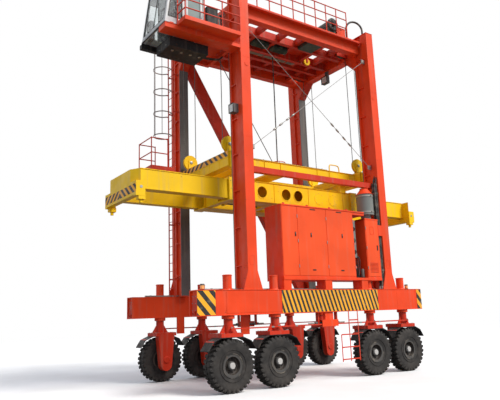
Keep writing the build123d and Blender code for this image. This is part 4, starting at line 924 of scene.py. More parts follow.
def cabFrontX(z):
    return cab["front"] + (z - cab["floor"]) * cab["lean"]


def cabDress():
    tilt = math.atan(cab["lean"])
    for name, sign in machine["sideY"].items():
        piece = Piece(f"cab_side_gasket_{name}", cabPlace)
        low, high, back = 11.91, 13.25, -4.43
        corners = [(cabFrontX(low) + 0.09, low), (back, low), (back, high), (cabFrontX(high) + 0.09, high)]
        for (x0, z0), (x1, z1) in zip(corners, corners[1:] + corners[:1]):
            start, end = Vector((x0, sign * 0.893, z0)), Vector((x1, sign * 0.893, z1))
            piece.rod(start, end, 0.020, "rubber", 8)
        piece.done("frame", "grey_paint")
    front = Piece("cab_front_gasket", cabPlace)
    middle = (11.77 + 13.58) / 2
    lay = Matrix.Translation((cabFrontX(middle) + 0.004, 0, middle)) @ Matrix.Rotation(tilt, 4, "Y") @ acrossTurn
    front.frameRing(1.74, 1.86, 0.07, 0.016, 0.13, "cab", lay)
    front.frameRing(1.62, 1.74, 0.025, 0.022, 0.11, "rubber", lay)
    front.box((-0.016, 0.0, -0.86), (0.016, 0.018, 0.86), "rubber", 0.004, lay)
    for y in (-0.45, 0.40):
        # wiper arm and blade on each half
        low, high = Vector((cabFrontX(11.86) - 0.035, y, 11.86)), Vector((cabFrontX(12.42) - 0.035, y + 0.18, 12.42))
        front.rod(low, high, 0.008, "rubber", 8)
        front.rod(low, low + Vector((0.045, 0, 0)), 0.02, "rubber", 12)
        blade = [Vector((cabFrontX(z) - 0.024, y + dy, z)) for z, dy in ((12.1, 0.05), (12.72, 0.25))]
        front.rod(blade[0], blade[1], 0.009, "rubber", 8)
    front.done("frame", "grey_paint")
    rear = Piece("cab_rear_gasket", cabPlace)
    rear.frameRing(1.10, 0.90, 0.05, 0.014, 0.10, "cab",
                   at(-3.54, 0, 12.95) @ Matrix.Rotation(-math.pi / 2, 4, "Z"))
    rear.done("frame", "grey_paint")
    door = Piece("cab_door_fittings", cabPlace)
    door.frameRing(0.58, 1.50, 0.045, 0.014, 0.09, "cab", at(-3.97, -0.9, 12.74) @ backTurn)
    door.frameRing(0.72, 1.90, 0.022, 0.010, 0.05, "rubber", at(-3.97, -0.896, 12.63) @ backTurn)
    for z in (12.0, 12.7, 13.3):
        door.rod((-4.325, -0.918, z - 0.06), (-4.325, -0.918, z + 0.06), 0.016, "steel", 12)
        door.box((-4.375, -0.912, z - 0.045), (-4.275, -0.896, z + 0.045), "cab", 0.003)
    door.sweep([(-3.70, -0.90, 12.15), (-3.70, -0.955, 12.15), (-3.70, -0.96, 12.22), (-3.70, -0.96, 12.34),
                (-3.70, -0.955, 12.41), (-3.70, -0.90, 12.41)], 0.011, "steel")
    door.box((-3.735, -0.916, 12.00), (-3.665, -0.9, 12.11), "rubber", 0.004)
    door.done("frame", "grey_paint")
    shell = Piece("cab_trim", cabPlace)
    # rain gutters and the black edge along the floor, then the ribs and the hatch on the roof
    for sign in (-1, 1):
        shell.box((-4.79, sign * 0.9, 13.655), (-3.54, sign * 0.925, 13.685), "cab", 0.004)
        shell.box((-5.09, sign * 0.87, 11.635), (-3.545, sign * 0.906, 11.685), "black", 0.003)
    shell.box((-5.092, -0.9, 11.635), (-5.055, 0.9, 11.685), "black", 0.003)
    for x in (-4.72, -4.4, -4.1, -3.7):
        shell.box((x - 0.03, -0.84, 13.70), (x + 0.03, 0.84, 13.716), "cab", 0.005)
    shell.box((-4.62, -0.33, 13.70), (-3.84, 0.33, 13.715), "cab", 0.004)
    shell.done("frame", "orange_paint")
    inside = Piece("cab_interior", cabPlace)
    seat = "seat"
    inside.box((-4.62, -0.26, 12.02), (-4.12, 0.26, 12.15), seat, 0.03)
    inside.box((-4.20, -0.25, 12.10), (-4.06, 0.25, 12.78), seat, 0.035)
    inside.box((-4.19, -0.14, 12.80), (-4.09, 0.14, 13.0), seat, 0.03)
    inside.rod((-4.37, 0, 11.70), (-4.37, 0, 12.03), 0.08, "steel", 20)
    inside.box((-4.6, -0.22, 11.70), (-4.15, 0.22, 11.73), "steel", 0.004)
    for sign in (-1, 1):
        inside.box((-4.66, sign * 0.34, 11.70), (-4.14, sign * 0.54, 12.30), seat, 0.02)
        inside.rod((-4.52, sign * 0.44, 12.29), (-4.50, sign * 0.44, 12.44), 0.014, "steel", 10)
        inside.rod((-4.50, sign * 0.44, 12.42), (-4.50, sign * 0.44, 12.50), 0.026, seat, 12)
        inside.box((-4.42, sign * 0.30, 12.34), (-4.10, sign * 0.35, 12.38), seat, 0.01)
    inside.box((-4.985, -0.7, 11.80), (-4.86, -0.42, 12.30), "grey", 0.015)
    inside.box((-4.94, 0.5, 11.72), (-4.76, 0.78, 12.42), "grey", 0.02)
    inside.done("frame", "dark_paint")


cabDress()


def platformDress():
    piece = Piece("platform_fittings", cabPlace)
    for z in (11.430, 11.586):
        piece.box((-5.11, -1.015, z), (-2.156, -0.995, z + 0.016), "orange", 0.003)
    # toe boards and tread plate on the decks
    piece.box((-4.65, -1.50, 11.64), (-2.46, -1.492, 11.74), "orange", 0.002)
    piece.box((-4.65, -1.50, 11.64), (-4.642, -0.92, 11.74), "orange", 0.002)
    piece.box((-4.64, -1.49, 11.64), (-2.47, -0.92, 11.645), "tread", 0.001)
    piece.box((-3.52, -0.92, 11.64), (-2.47, 0.98, 11.645), "tread", 0.001)
    piece.done("frame", "orange_paint")
    box = Piece("service_box_fittings", cabPlace)
    for x in (-4.45, -3.95, -3.45):
        box.box((x - 0.22, -0.5, 11.125), (x + 0.22, -0.508, 11.325), "black", 0.004)
        box.slats(5, (x, -0.512, 11.15), 0.035, 0.5, (-0.19, -0.008, -0.003), (0.19, 0.014, 0.003), "black")
    for y in (-0.25, 0.25):
        box.box((-4.7, y - 0.20, 11.125), (-4.708, y + 0.20, 11.325), "black", 0.004)
        box.rod((-4.716, y - 0.03, 11.2), (-4.716, y + 0.03, 11.2), 0.01, "steel", 8)
    for x in (-4.45, -4.1, -3.75, -3.4):
        box.rod((x, -0.2, 11.08), (x, -0.2, 11.102), 0.05, "steel", 16)
    box.done("frame", "dark_paint")
    joints = Piece("platform_joints")
    # the beam's end plate on the column, the hanger's on the portal, and hoses up from the service box
    joints.box((-3.164, -2.43, 10.43), (-3.149, -2.25, 10.74), "orange", 0.003)
    joints.bolts([(-3.164, y, z) for y in (-2.40, -2.27) for z in (10.45, 10.72)], (-1, 0, 0), 0.012)
    joints.box((-3.164, -0.80, 12.03), (-3.149, -0.585, 12.27), "orange", 0.003)
    joints.bolts([(-3.164, y, z) for y in (-0.78, -0.605) for z in (12.05, 12.25)], (-1, 0, 0), 0.012)
    for y in (-1.60, -1.52):
        joints.sweep([(-4.12, y, 10.34), (-3.8, y, 10.36), (-3.40, y, 10.40), (-3.26, y, 10.6), (-3.25, y, 11.0),
                      (-3.25, y, 11.8), (-3.25, y, 12.1), (-3.22, y, 12.24), (-3.14, y, 12.26)], 0.024,
                     "rubber")
    joints.done("frame", "orange_paint")
    unit = Piece("deck_unit_fittings")
    unit.box((-4.03, -1.90, 10.80), (-3.67, -1.908, 11.94), "black", 0.004)
    unit.box((-4.06, -1.91, 11.985), (-3.64, -1.49, 12.01), "black", 0.004)
    unit.box((-3.72, -1.908, 11.32), (-3.70, -1.922, 11.46), "steel", 0.003)
    unit.slats(8, (-3.85, -1.910, 10.90), 0.04, -0.55, (-0.13, -0.010, -0.003), (0.13, 0.006, 0.003), "grey")
    unit.done("frame", "dark_paint")


platformDress()


def ladderDress():
    piece = Piece("ladder_fittings")
    for z in (3.462, 5.462, 7.1, 9.75, 11.25):
        for y in (1.86, 2.28):
            piece.box((-3.162, y - 0.035, z - 0.03), (-3.149, y + 0.035, z + 0.08), "rail", 0.002)
            piece.bolts([(-3.161, y, z - 0.012), (-3.161, y, z + 0.062)], (-1, 0, 0), 0.010)
    # the landing: toe boards, tread plate and diagonal stays
    front, back, deck = -4.38, -3.42, 7.40
    piece.box((front, 1.62, deck), (back, 1.628, 7.50), "rail", 0.002)
    piece.box((front, 2.712, deck), (back, 2.72, 7.50), "rail", 0.002)
    piece.box((front, 1.62, deck), (-4.372, 2.72, 7.50), "rail", 0.002)
    piece.box((-4.36, 1.64, deck), (back, 2.70, 7.406), "tread", 0.001)
    for y, foot in ((1.65, 1.78), (2.405, 2.36)):
        piece.rod((-4.2, y, 7.27), (-3.152, foot, 6.5), 0.022, "rail", 12)
        piece.box((-3.165, foot - 0.05, 6.42), (-3.149, foot + 0.05, 6.58), "rail", 0.003)
    piece.done("frame", "rail_paint")
    steps = Piece("boarding_ladder_fittings")
    for x in (0.823, 1.235):
        steps.bolts([(x, -2.445, 2.155)], (0, -1, 0), 0.010)
    steps.done("frame", "rail_paint")


ladderDress()
print("cab and ladders done")

# Engine housing: doors with latches and hinges, lifting eyes on the roof, a grille on the inboard side
housing = {"face": -2.43, "doors": [(-1.80, -1.18), (-1.16, 0.07), (0.09, 1.32)], "bottom": 3.30, "top": 5.50,
           "roof": 5.56}


def housingDress():
    doors = Piece("housing_doors")
    face, roof = housing["face"], housing["roof"]
    for x0, x1 in housing["doors"]:
        doors.box((x0, face, housing["bottom"]), (x1, face - 0.010, housing["top"]), "door", 0.006)
    doors.box((-1.82, face, 5.515), (1.92, face - 0.020, roof), "orange", 0.004)
    doors.box((-1.82, face, 3.16), (2.59, face - 0.016, 3.25), "orange", 0.004)
    doors.done("frame", "orange_paint")
    fittings = Piece("housing_fittings")
    for x, z in ((-0.61, 4.61), (0.78, 4.65), (-1.27, 4.61)):
        fittings.box((x - 0.025, face - 0.010, z - 0.07), (x + 0.025, face - 0.020, z + 0.07), "black", 0.004)
        fittings.rod((x, face - 0.020, z + 0.03), (x, face - 0.032, z + 0.03), 0.014, "steel", 12)
    for x in (-1.17, 0.08, 1.33):
        for z in (3.6, 4.4, 5.2):
            fittings.rod((x, face - 0.014, z - 0.05), (x, face - 0.014, z + 0.05), 0.013, "steel", 10)
            fittings.box((x - 0.045, face - 0.009, z - 0.035), (x + 0.045, face - 0.014, z + 0.035), "orange", 0.001)
    for x in (-0.50, 0.68):
        fittings.box((x - 0.12, face - 0.010, 5.44), (x + 0.12, face - 0.016, 5.475), "black", 0.002)
    for x0, x1 in housing["doors"][1:]:
        middle = (x0 + x1) / 2
        fittings.box((middle - 0.07, face - 0.010, 3.46), (middle + 0.07, face - 0.018, 3.50), "black", 0.003)
    for x in (-1.6, -0.6, 0.4, 1.2):
        fittings.box((x - 0.05, -2.30, roof), (x + 0.05, -2.288, 5.64), "red", 0.01)
        fittings.box((x - 0.05, -1.72, roof), (x + 0.05, -1.708, 5.64), "red", 0.01)
    # roof seams and an air outlet hood
    for x in (-1.0, 0.2, 1.0):
        fittings.box((x - 0.02, -2.40, roof), (x + 0.02, -1.60, 5.572), "orange", 0.003)
    fittings.box((-0.78, -2.22, roof), (-0.02, -1.80, 5.60), "red", 0.01)
    for number in range(8):
        x = -0.72 + 0.09 * number
        fittings.box((x, -2.19, 5.598), (x + 0.05, -1.83, 5.608), "black", 0.002)
    fittings.done("frame", "dark_paint")
    back = Piece("housing_inner_face")
    # the inboard side: a radiator grille and flat seams
    back.frameRing(1.10, 1.30, 0.05, 0.014, 0.03, "orange", at(-1.05, -1.58, 4.30))
    back.slats(22, (-1.05, -1.579, 3.72), 0.053, 0.6, (-0.5, -0.004, -0.014), (0.5, 0.012, -0.008), "black")
    for x in (-0.35, 0.45):
        back.box((x - 0.006, -1.58, 3.27), (x + 0.006, -1.576, 5.54), "orange", 0.001)
    back.done("frame", "orange_paint")


housingDress()


def bayDress():
    # pumps and filters in the open bay, pipes between them, and the cabinet's door
    piece = Piece("bay_machinery")
    for number, z in enumerate((4.15, 4.55, 4.95)):
        piece.turned([(0.0, 0.0), (0.085, 0.0), (0.085, 0.03), (0.07, 0.04), (0.07, 0.20), (0.05, 0.225), (0.0, 0.225)],
                     "green" if number % 2 else "black",
                     facing((0, -1, 0), (1.475, -2.12, z)), 28)
    piece.cap((0.10, 0.34), (0.08, 0.37), "black",
                 facing((0, 0, 1), (1.71, -2.06, 3.35)), 28)
    piece.cap((0.06, 0.26), (0.045, 0.29), "grey",
                 facing((0, 0, 1), (1.84, -2.25, 3.28)), 24)
    piece.box((1.62, -2.20, 3.25), (1.80, -1.90, 3.36), "black", 0.006)
    piece.box((1.78, -2.31, 3.25), (1.90, -2.19, 3.29), "black", 0.006)
    for number in range(4):
        y = -2.28 + 0.1 * number
        piece.sweep([(1.55, y, 4.0 + 0.2 * number), (1.62, y, 4.0 + 0.2 * number), (1.70, y, 3.95 + 0.2 * number),
                     (1.72, y, 3.75), (1.70 + 0.03 * number, y + 0.05, 3.5), (1.68, y + 0.06, 3.35)], 0.018,
                    "rubber")
    piece.box((1.35, -2.33, 3.25), (1.40, -2.29, 5.43), "red", 0.004)
    piece.done("frame", "dark_paint")
    cabinet = Piece("cabinet_fittings")
    door = housing["face"] - 0.010
    cabinet.box((1.95, housing["face"], 3.30), (2.56, door, 5.29), "door", 0.006)
    cabinet.frameRing(0.20, 0.30, 0.02, 0.006, 0.03, "orange",
                      at(2.25, door, 4.92) @ backTurn)
    cabinet.box((2.45, door, 4.22), (2.50, -2.452, 4.40), "black", 0.004)
    for z in (3.6, 4.3, 5.0):
        cabinet.rod((1.945, -2.446, z - 0.05), (1.945, -2.446, z + 0.05), 0.012, "steel", 10)
    cabinet.slats(8, (2.25, -2.442, 3.45), 0.045, -0.55, (-0.2, -0.013, -0.0035), (0.2, 0.006, 0.0035), "red")
    cabinet.box((1.92, -2.445, 5.29), (2.60, -1.82, 5.345), "orange", 0.006)
    cabinet.done("frame", "orange_paint")
    cleaner = Piece("air_cleaner_fittings")
    spot = (2.35, -2.12)
    for z in (5.60, 6.18):
        cleaner.turned([(0.296, 0.0), (0.312, 0.0), (0.312, 0.045), (0.296, 0.045)], "steel", at(*spot, z), 48)
        cleaner.box((2.33, -2.452, z + 0.005), (2.37, -2.425, z + 0.04), "bolt", 0.003)
    cleaner.turned([(0.18, 0.0), (0.205, 0.0), (0.205, 0.03), (0.18, 0.03)], "grey", at(*spot, 5.345), 36)
    cleaner.turned([(0.12, 0.0), (0.155, 0.0), (0.155, 0.012), (0.0, 0.045), (0.0, 0.03)], "orange",
                   at(*spot, 6.50), 32)
    cleaner.turned([(0.304, 0.0), (0.318, 0.01), (0.304, 0.02)], "orange", at(*spot, 6.278), 48)
    cleaner.done("frame", "grey_paint")


bayDress()
print("housing done")

# Stay rods: turnbuckles with hexagon nuts at each adjuster, and clevises at the lugs
stay = {"top": 11.64, "foot": 7.29, "half": 2.8, "clamps": [0.94, 1.18, 1.49, 1.75]}


def stays():
    piece = Piece("stay_fittings")
    for direction, y in ((1, -2.245), (-1, -2.155)):
        slope = direction * (stay["top"] - stay["foot"]) / (2 * stay["half"])
        middle = (stay["top"] + stay["foot"]) / 2
        unit = Vector((1, 0, slope)).normalized()
        for x in stay["clamps"]:
            spot = Vector((-direction * x, y, middle - direction * x * slope))
            for step in (-1, 1):
                near, away = spot + unit * step * 0.062, spot + unit * step * 0.095
                piece.rod(near, away, 0.019, "bolt", 6)
            piece.rod(spot - unit * 0.03, spot + unit * 0.03, 0.0315, "steel", 20)
        for side in (-1, 1):
            z = middle + side * slope * (stay["half"] - 0.09)
            spot = Vector((side * (stay["half"] - 0.09), y, z))
            for step in (-1, 1):
                piece.box(spot + Vector((-0.075, step * 0.017, -0.05)), spot + Vector((0.075, step * 0.029, 0.05)),
                          "steel", 0.004)
            piece.rod(spot + Vector((0, -0.045, 0)), spot + Vector((0, 0.045, 0)), 0.018, "bolt", 12)
            piece.box((side * 2.8, y - 0.045, z - 0.12), (side * 2.788, y + 0.045, z + 0.12), "red", 0.003)
    piece.done("frame", "orange_paint")


stays()


def lampsDress():
    for number, x in enumerate((-4.65, 4.0)):
        beacon = Piece(f"beacon_{number}")
        beacon.cap((0.075, 0.018), (0.055, 0.03), "black",
                      at(x, -2.3, machine["sillTop"]), 28)
        beacon.turned([(0.0, 0.028), (0.062, 0.028), (0.062, 0.12), (0.052, 0.155), (0.025, 0.172), (0.0, 0.174)],
                      "amber", at(x, -2.3, machine["sillTop"]), 28)
        for height in (0.05, 0.08, 0.11):
            beacon.turned([(0.060, height), (0.066, height + 0.004), (0.060, height + 0.008)], "amber",
                          at(x, -2.3, machine["sillTop"]), 28)
        beacon.done("frame", "grey_paint")
    for name, low, high in (("column", (-3.35, -2.20, 8.43), (-3.15, -1.96, 8.72)),
                            ("portal", (2.65, -0.28, 11.46), (2.80, 0.04, 11.76))):
        lamp = Piece(f"floodlight_{name}")
        lamp.frameRing(high[1] - low[1] + 0.03, high[2] - low[2] + 0.02, 0.026, 0.02, 0.02, "black",
                       at(low[0] + 0.004, (low[1] + high[1]) / 2, (low[2] + high[2]) / 2) @ acrossTurn)
        lamp.box((low[0] - 0.008, low[1] + 0.02, low[2] + 0.02), (low[0] + 0.01, high[1] - 0.02, high[2] - 0.02),
                 "clear", 0.003)
        for step in range(4):
            z = low[2] + 0.05 + 0.06 * step
            lamp.box((high[0] - 0.002, low[1] + 0.02, z), (high[0] + (0.018 if name == "portal" else -0.001),
                     high[1] - 0.02, z + 0.012), "grey", 0.002)
        lamp.done("frame", "grey_paint")


lampsDress()

# Head block: pipes on its rails, wear pads on the shoes, sheave pins and keeper plates
head = {"outer": 3.16, "halfBeam": 1.525, "railY": 1.25, "sheaveX": 2.97, "sheaveY": 1.3, "sheaveZ": 7.65}


def headDress():
    marks = Piece("head_stripes")
    for endSign in (-1, 1):
        x = endSign * head["outer"]
        marks.box((x, -head["halfBeam"], 7.17), (x + endSign * 0.005, head["halfBeam"], 7.355), "beamStripes", 0.001)
    marks.done("lift", "yellow_paint")
    piece = Piece("head_block_fittings")
    for endSign in (-1, 1):
        x = endSign * head["outer"]
        for z in (6.86, 7.15):
            piece.box((x, -head["halfBeam"], z), (x + endSign * 0.012, head["halfBeam"], z + 0.018), "yellow", 0.003)
        for y in (-1.0, -0.35, 0.35, 1.0):
            piece.box((x, y - 0.008, 6.88), (x + endSign * 0.010, y + 0.008, 7.15), "yellow", 0.002)
        for sy in (-1, 1):
            shoe = sy * 1.708
            x0, x1 = sorted((endSign * 2.90, endSign * 3.10))
            piece.box((x0, shoe - sy * 0.03, 6.83), (x1, shoe + sy * 0.006, 7.27), "steel", 0.003)
            piece.bolts([(x0 + 0.04, shoe - sy * 0.09, 7.30), (x1 - 0.04, shoe - sy * 0.09, 7.30)], (0, 0, 1), 0.014)
            for step in (-1, 1):
                y = sy * head["sheaveY"] + step * 0.075
                spot = (endSign * head["sheaveX"], y, head["sheaveZ"])
                piece.cap((0.06, 0.014), (0.045, 0.022), "steel",
                             facing((0, step, 0), spot), 24)
                piece.bolts([(spot[0] - 0.085, y, 7.45), (spot[0] + 0.085, y, 7.45)], (0, step, 0), 0.012)
    for sy in (-1, 1):
        y = sy * head["railY"]
        for z in (6.862, 7.292):
            piece.box((-2.84, y, z), (2.84, y + sy * 0.03, z + 0.016), "yellow", 0.003)
        for x in (-2.5, -1.5, -0.8, 0.9, 1.5, 2.5):
            piece.box((x - 0.006, y, 6.88), (x + 0.006, y + sy * 0.026, 7.29), "yellow", 0.001)
        for sx in (-1, 1):
            # bolted flanges between the legs and the spreader
            for z in (6.56, 6.842):
                piece.box((sx * 2.3 - 0.19, sy * 0.9 - 0.235, z), (sx * 2.3 + 0.19, sy * 0.9 + 0.235, z + 0.018),
                          "yellow", 0.003)
            spots = [(sx * 2.3 + dx, sy * 0.9 + dy, 6.578) for dx in (-0.17, 0.17) for dy in (-0.2, -0.07, 0.07, 0.2)]
            piece.bolts(spots, (0, 0, 1), 0.013)
    piece.done("lift", "yellow_paint")
    pipes = Piece("head_block_pipes")
    # a bent pipe stands on the engine side rail, and thinner ones run along it
    pipes.sweep([(1.6, -1.17, 7.30), (1.6, -1.17, 7.42), (1.6, -1.17, 7.56), (1.68, -1.17, 7.58), (1.95, -1.17, 7.58),
                 (2.08, -1.17, 7.56), (2.1, -1.17, 7.45), (2.1, -1.17, 7.30)], 0.022, "yellow")
    for number, y in enumerate((-1.20, -1.14)):
        z = 7.335 + 0.006 * number
        pipes.sweep([(-2.7, y, z), (-1.8, y, z), (-0.6, y, z), (0.4, y, z), (1.1, y, z), (1.45, y, z)], 0.014,
                    "rubber")
    for x in (-2.4, -1.5, -0.6, 0.4, 1.2):
        pipes.box((x - 0.018, -1.225, 7.31), (x + 0.018, -1.115, 7.36), "steel", 0.003)
    pipes.done("lift", "hose_rubber")
    lugs = Piece("head_sheave_keepers")
    for sx in (-1, 1):
        for sy in (-1, 1):
            x, y = sx * head["sheaveX"], sy * head["sheaveY"]
            for step in (-1, 1):
                ring = [(0.0, 0.0), (0.20, 0.0), (0.20, 0.003), (0.0, 0.003)]
                lugs.turned(ring, "yellow", facing((0, step, 0), (x, y + step * 0.0452, head["sheaveZ"])), 36)
                lugs.turned([(0.0, 0.0), (0.07, 0.0), (0.065, 0.004), (0.0, 0.004)], "black",
                            facing((0, step, 0), (x, y + step * 0.0457, head["sheaveZ"])), 28)
    lugs.done("lift", "yellow_paint")


headDress()


def basketDress():
    piece = Piece("basket_mesh")
    low, high, radius = 7.325, 7.72, 0.288
    for number in range(16):
        turn = 2 * math.pi * number / 16
        x, y = 0.06 + radius * math.cos(turn), radius * math.sin(turn)
        piece.rod((x, y, low), (x, y, high), 0.004, "rail", 6)
    for z in (7.39, 7.52, 7.66):
        inner, outer = radius - 0.003, radius + 0.003
        piece.turned([(inner, -0.004), (outer, -0.004), (outer, 0.004), (inner, 0.004)],
                     "rail", at(0.06, 0, z), 40)
    # the cable lies in flat turns on the basket's floor
    for number in range(5):
        ring = 0.12 + 0.028 * number
        piece.turned([(ring + 0.021 * math.cos(turn), 0.021 * math.sin(turn))
                      for turn in (math.pi * step / 4 for step in range(8))], "rubber",
                     at(0.06, 0, 7.344 + 0.004 * (number % 2)), 36)
    piece.done("lift", "rail_paint")


basketDress()
print("head block done")

# Spreader: seam lips, hole rims and covers, collar plates, the cylinder, and the pins at the corners
spreader = {"bottom": 5.86, "top": 6.56, "web": 1.15, "middle": 6.21, "holes": [-1.57, -0.53, 0.02],
            "covers": [1.01, 1.70]}


def spreaderDress():
    piece = Piece("spreader_fittings")
    for sy in (-1, 1):
        web = sy * spreader["web"]
        for z in (spreader["bottom"], spreader["top"] - 0.016):
            piece.box((-2.58, web, z), (2.58, web + sy * 0.025, z + 0.016), "yellow", 0.003)
        for x in spreader["holes"]:
            piece.turned([(0.196, -0.02), (0.225, -0.001), (0.225, 0.010), (0.196, 0.010)], "yellow",
                         facing((0, sy, 0), (x, web, spreader["middle"])), 40)
        for x in spreader["covers"]:
            piece.disc(0.225, 0.008, "yellow",
                         facing((0, sy, 0), (x, web, spreader["middle"])), 40)
            piece.bolts(circle((x, web + sy * 0.007, spreader["middle"]), 0.2, 8, "xz"), (0, sy, 0), 0.010)
        for x in (-2.1, -1.05, 0.5, 2.2):
            piece.box((x - 0.006, web, 5.88), (x + 0.006, web + sy * 0.018, 6.54), "yellow", 0.001)
        for sx in (-1, 1):
            spots = [(2.66, 5.95), (2.66, spreader["middle"]), (2.66, 6.47), (2.85, spreader["middle"]), (2.85, 6.47)]
            piece.bolts([(sx * x, sy * 1.18, z) for x, z in spots], (0, sy, 0), 0.014)
            # the rim at the mouth stays above the end's corner plates, which come in beside it
            piece.box((sx * 2.585, sy * 1.18, 5.83), (sx * 2.61, sy * 1.192, 6.59), "yellow", 0.003)
            piece.box((sx * 2.895, sy * 1.18, 6.12), (sx * 2.92, sy * 1.192, 6.59), "yellow", 0.003)
    # a long cylinder between the tubes works the arms, with its pipes above it
    piece.rod((-2.55, 0.0, 6.0), (2.55, 0.0, 6.0), 0.075, "grey", 28, bevel=0.008)
    for x in (-2.40, -0.88, 1.12, 2.40):
        piece.box((x - 0.03, -0.10, 5.88), (x + 0.03, 0.10, 6.10), "yellow", 0.004)
    for y in (-0.2, -0.15):
        piece.rod((-2.6, y, 6.47), (2.6, y, 6.47), 0.014, "steel", 12)
    piece.done("lift", "yellow_paint")
    for end, sx in machine["endX"].items():
        body = f"spreader_{end}"
        first = 1.11 if sx < 0 else 0.80
        part = Piece(f"spreader_end_fittings_{end}")
        for sy in (-1, 1):
            face = sy * first
            for z in (5.90, 6.504):
                part.box((sx * 5.99, face, z), (sx * 3.3, face + sy * 0.018, z + 0.016), "yellow", 0.003)
            # corner housing: pins on its top and side, and the twistlock's collar
            x, y = sx * 5.9925, sy * 1.1295
            part.cap((0.07, 0.02), (0.05, 0.035), "steel",
                        facing((0, 0, 1), (x + sx * 0.075, y, 5.815)), 24)
            part.disc(0.045, 0.03, "steel",
                        facing((0, sy, 0), (sx * 6.02, sy * 1.20, 5.93)), 20)
            part.rod((x, y, 5.462), (x, y, 5.50), 0.050, "steel", 24, endRadius=0.052)
        part.box((sx * 6.0, -0.79, 6.52), (sx * 6.19, 0.79, 6.527), "yellow", 0.002)
        part.done(body, "yellow_paint")


spreaderDress()
print("spreader done")

# Ropes that run from the frame to the lift
rope = {"top": 12.10, "innerTop": 12.35, "sheave": 7.65, "y": 1.3, "outerX": 3.205, "innerX": 2.735, "radius": 0.013}


def ropes():
    for end, sx in machine["endX"].items():
        for side, sy in machine["sideY"].items():
            for name, x, topZ in (("outer", rope["outerX"], rope["top"]), ("inner", rope["innerX"], rope["innerTop"])):
                piece = Piece(f"hoist_rope_{name}_{end}_{side}")
                low, high = (sx * x, sy * rope["y"], rope["sheave"]), (sx * x, sy * rope["y"], topZ)
                piece.rod(low, high, rope["radius"], "rope", 12)
                piece.done("frame", "wire_rope", ["hoist_ropes"], {"to": "lift", "start": high, "end": low})
    ends = Piece("rope_sockets")
    for sx in (-1, 1):
        for sy in (-1, 1):
            x, y = sx * rope["outerX"], sy * rope["y"]
            ends.rod((x, y, 11.86), (x, y, rope["top"]), 0.022, "steel", 20, endRadius=0.04)
            ends.rod((x - 0.07, y, rope["top"]), (x - 0.07, y, 12.13), 0.02, "bolt", 6)
    ends.done("frame", "wire_rope")


ropes()
print("ropes done")


def cables():
    straight = Piece("spreader_cable_straight")
    low, high = (0.06, 0.0, 7.52), (0.06, 0.0, 12.10)
    straight.rod(low, high, 0.022, "rubber", 16)
    straight.done("frame", "hose_rubber", ["spreader_cable"], {"to": "lift", "start": high, "end": low})
    slant = Piece("spreader_cable_slanting")
    low, high = (-0.04, 0.0, 7.52), (-2.70, 0.0, 11.70)
    slant.rod(low, high, 0.015, "rubber", 14)
    slant.rod((-2.70, 0, 11.69), (-2.70, 0, 12.10), 0.015, "rubber", 14)
    slant.done("frame", "hose_rubber", ["spreader_cable"], {"to": "lift", "start": high, "end": low})


cables()
print("cables done")

# Floor, light, camera
camera = {"place": (-12.63, -16.051, 2.116), "azimuth": 35.28, "elevation": 11.674, "roll": -2.038, "lens": 40.21}


def floor():
    bpy.ops.mesh.primitive_plane_add(size=400, location=(0, 0, 0))
    ground = bpy.context.object
    ground.name = "floor"
    look = Look("floor_pale")
    distance = look.node("ShaderNodeVectorMath", {"operation": "LENGTH"}, {0: look.place}, 1)
    grain = look.noise(0.35, 4.0).fade(0.3, 0.7)
    shade = look.mix(grain, rgb(0.74, 0.735, 0.725), rgb(0.80, 0.80, 0.80))
    # the ground is darker to the light that bounces from it than to the camera
    seen = look.node("ShaderNodeLightPath", {}, {})
    shade = look.mix(seen, rgb(0.16, 0.16, 0.16), shade)
    plain = look.node("ShaderNodeBsdfPrincipled", {}, {"Base Color": shade, "Roughness": 0.85})
    bright = look.node("ShaderNodeEmission", {}, {"Color": rgb(1, 1, 1), "Strength": 1.0})
    factor = distance.fade(14.0, 60.0) * seen
    look.close(look.node("ShaderNodeMixShader", {}, {0: factor, 1: plain, 2: bright}))
    ground.data.materials.append(look.material)


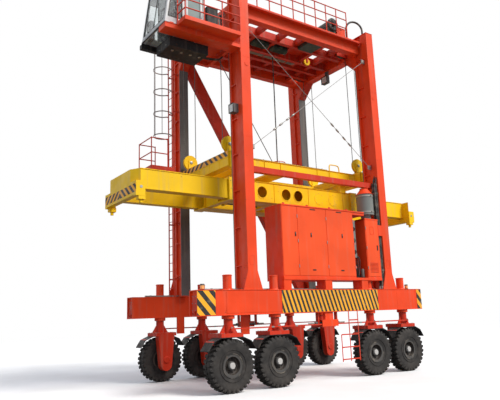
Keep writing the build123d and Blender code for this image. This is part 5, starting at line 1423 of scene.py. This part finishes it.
def light():
    world = bpy.data.worlds.new("studio")
    world.use_nodes = True
    bpy.context.scene.world = world
    tree = world.node_tree
    tree.nodes.clear()
    made = {name: tree.nodes.new("ShaderNode" + kind) for name, kind in (
        ("path", "LightPath"), ("seen", "Math"), ("glossy", "Math"), ("ambient", "Background"),
        ("white", "Background"), ("mix", "MixShader"), ("output", "OutputWorld"))}
    made["seen"].operation, made["seen"].use_clamp, made["glossy"].operation = "ADD", True, "ADD"
    for name, colour, strength in (("ambient", rgb(0.84, 0.89, 1.0), 0.80), ("white", rgb(1, 1, 1), 1.0)):
        made[name].inputs["Color"].default_value, made[name].inputs["Strength"].default_value = colour, strength
    for source, output, target, entry in (
            ("path", "Is Camera Ray", "glossy", 0), ("path", "Is Glossy Ray", "glossy", 1), ("glossy", 0, "seen", 0),
            ("path", "Is Transmission Ray", "seen", 1), ("seen", 0, "mix", 0), ("ambient", 0, "mix", 1),
            ("white", 0, "mix", 2), ("mix", 0, "output", "Surface")):
        tree.links.new(made[source].outputs[output], made[target].inputs[entry])
    sun = bpy.data.lights.new("sun", "SUN")
    sun.energy, sun.angle, sun.color = 3.5, math.radians(22), (1.0, 0.97, 0.92)
    sunObject = bpy.data.objects.new("sun", sun)
    sunObject.rotation_euler = Vector((6, -12, 14)).to_track_quat("Z", "Y").to_euler()
    bpy.context.collection.objects.link(sunObject)


def view():
    azimuth, elevation, roll = (math.radians(camera[key]) for key in ("azimuth", "elevation", "roll"))
    level = math.cos(elevation)
    ahead = Vector((math.sin(azimuth) * level, math.cos(azimuth) * level, math.sin(elevation)))
    right = ahead.cross(Vector((0, 0, 1))).normalized()
    up = right.cross(ahead)
    tiltedRight = math.cos(roll) * right + math.sin(roll) * up
    tiltedUp = math.cos(roll) * up - math.sin(roll) * right
    lens = bpy.data.cameras.new("view")
    lens.lens, lens.sensor_width, lens.clip_end = camera["lens"], 36.0, 500.0
    thing = bpy.data.objects.new("view", lens)
    turn = Matrix((tiltedRight, tiltedUp, -ahead)).transposed().to_4x4()
    thing.matrix_world = Matrix.Translation(camera["place"]) @ turn
    bpy.context.collection.objects.link(thing)
    bpy.context.scene.camera = thing
    bpy.context.scene.view_settings.view_transform = "Standard"


floor()
light()
view()
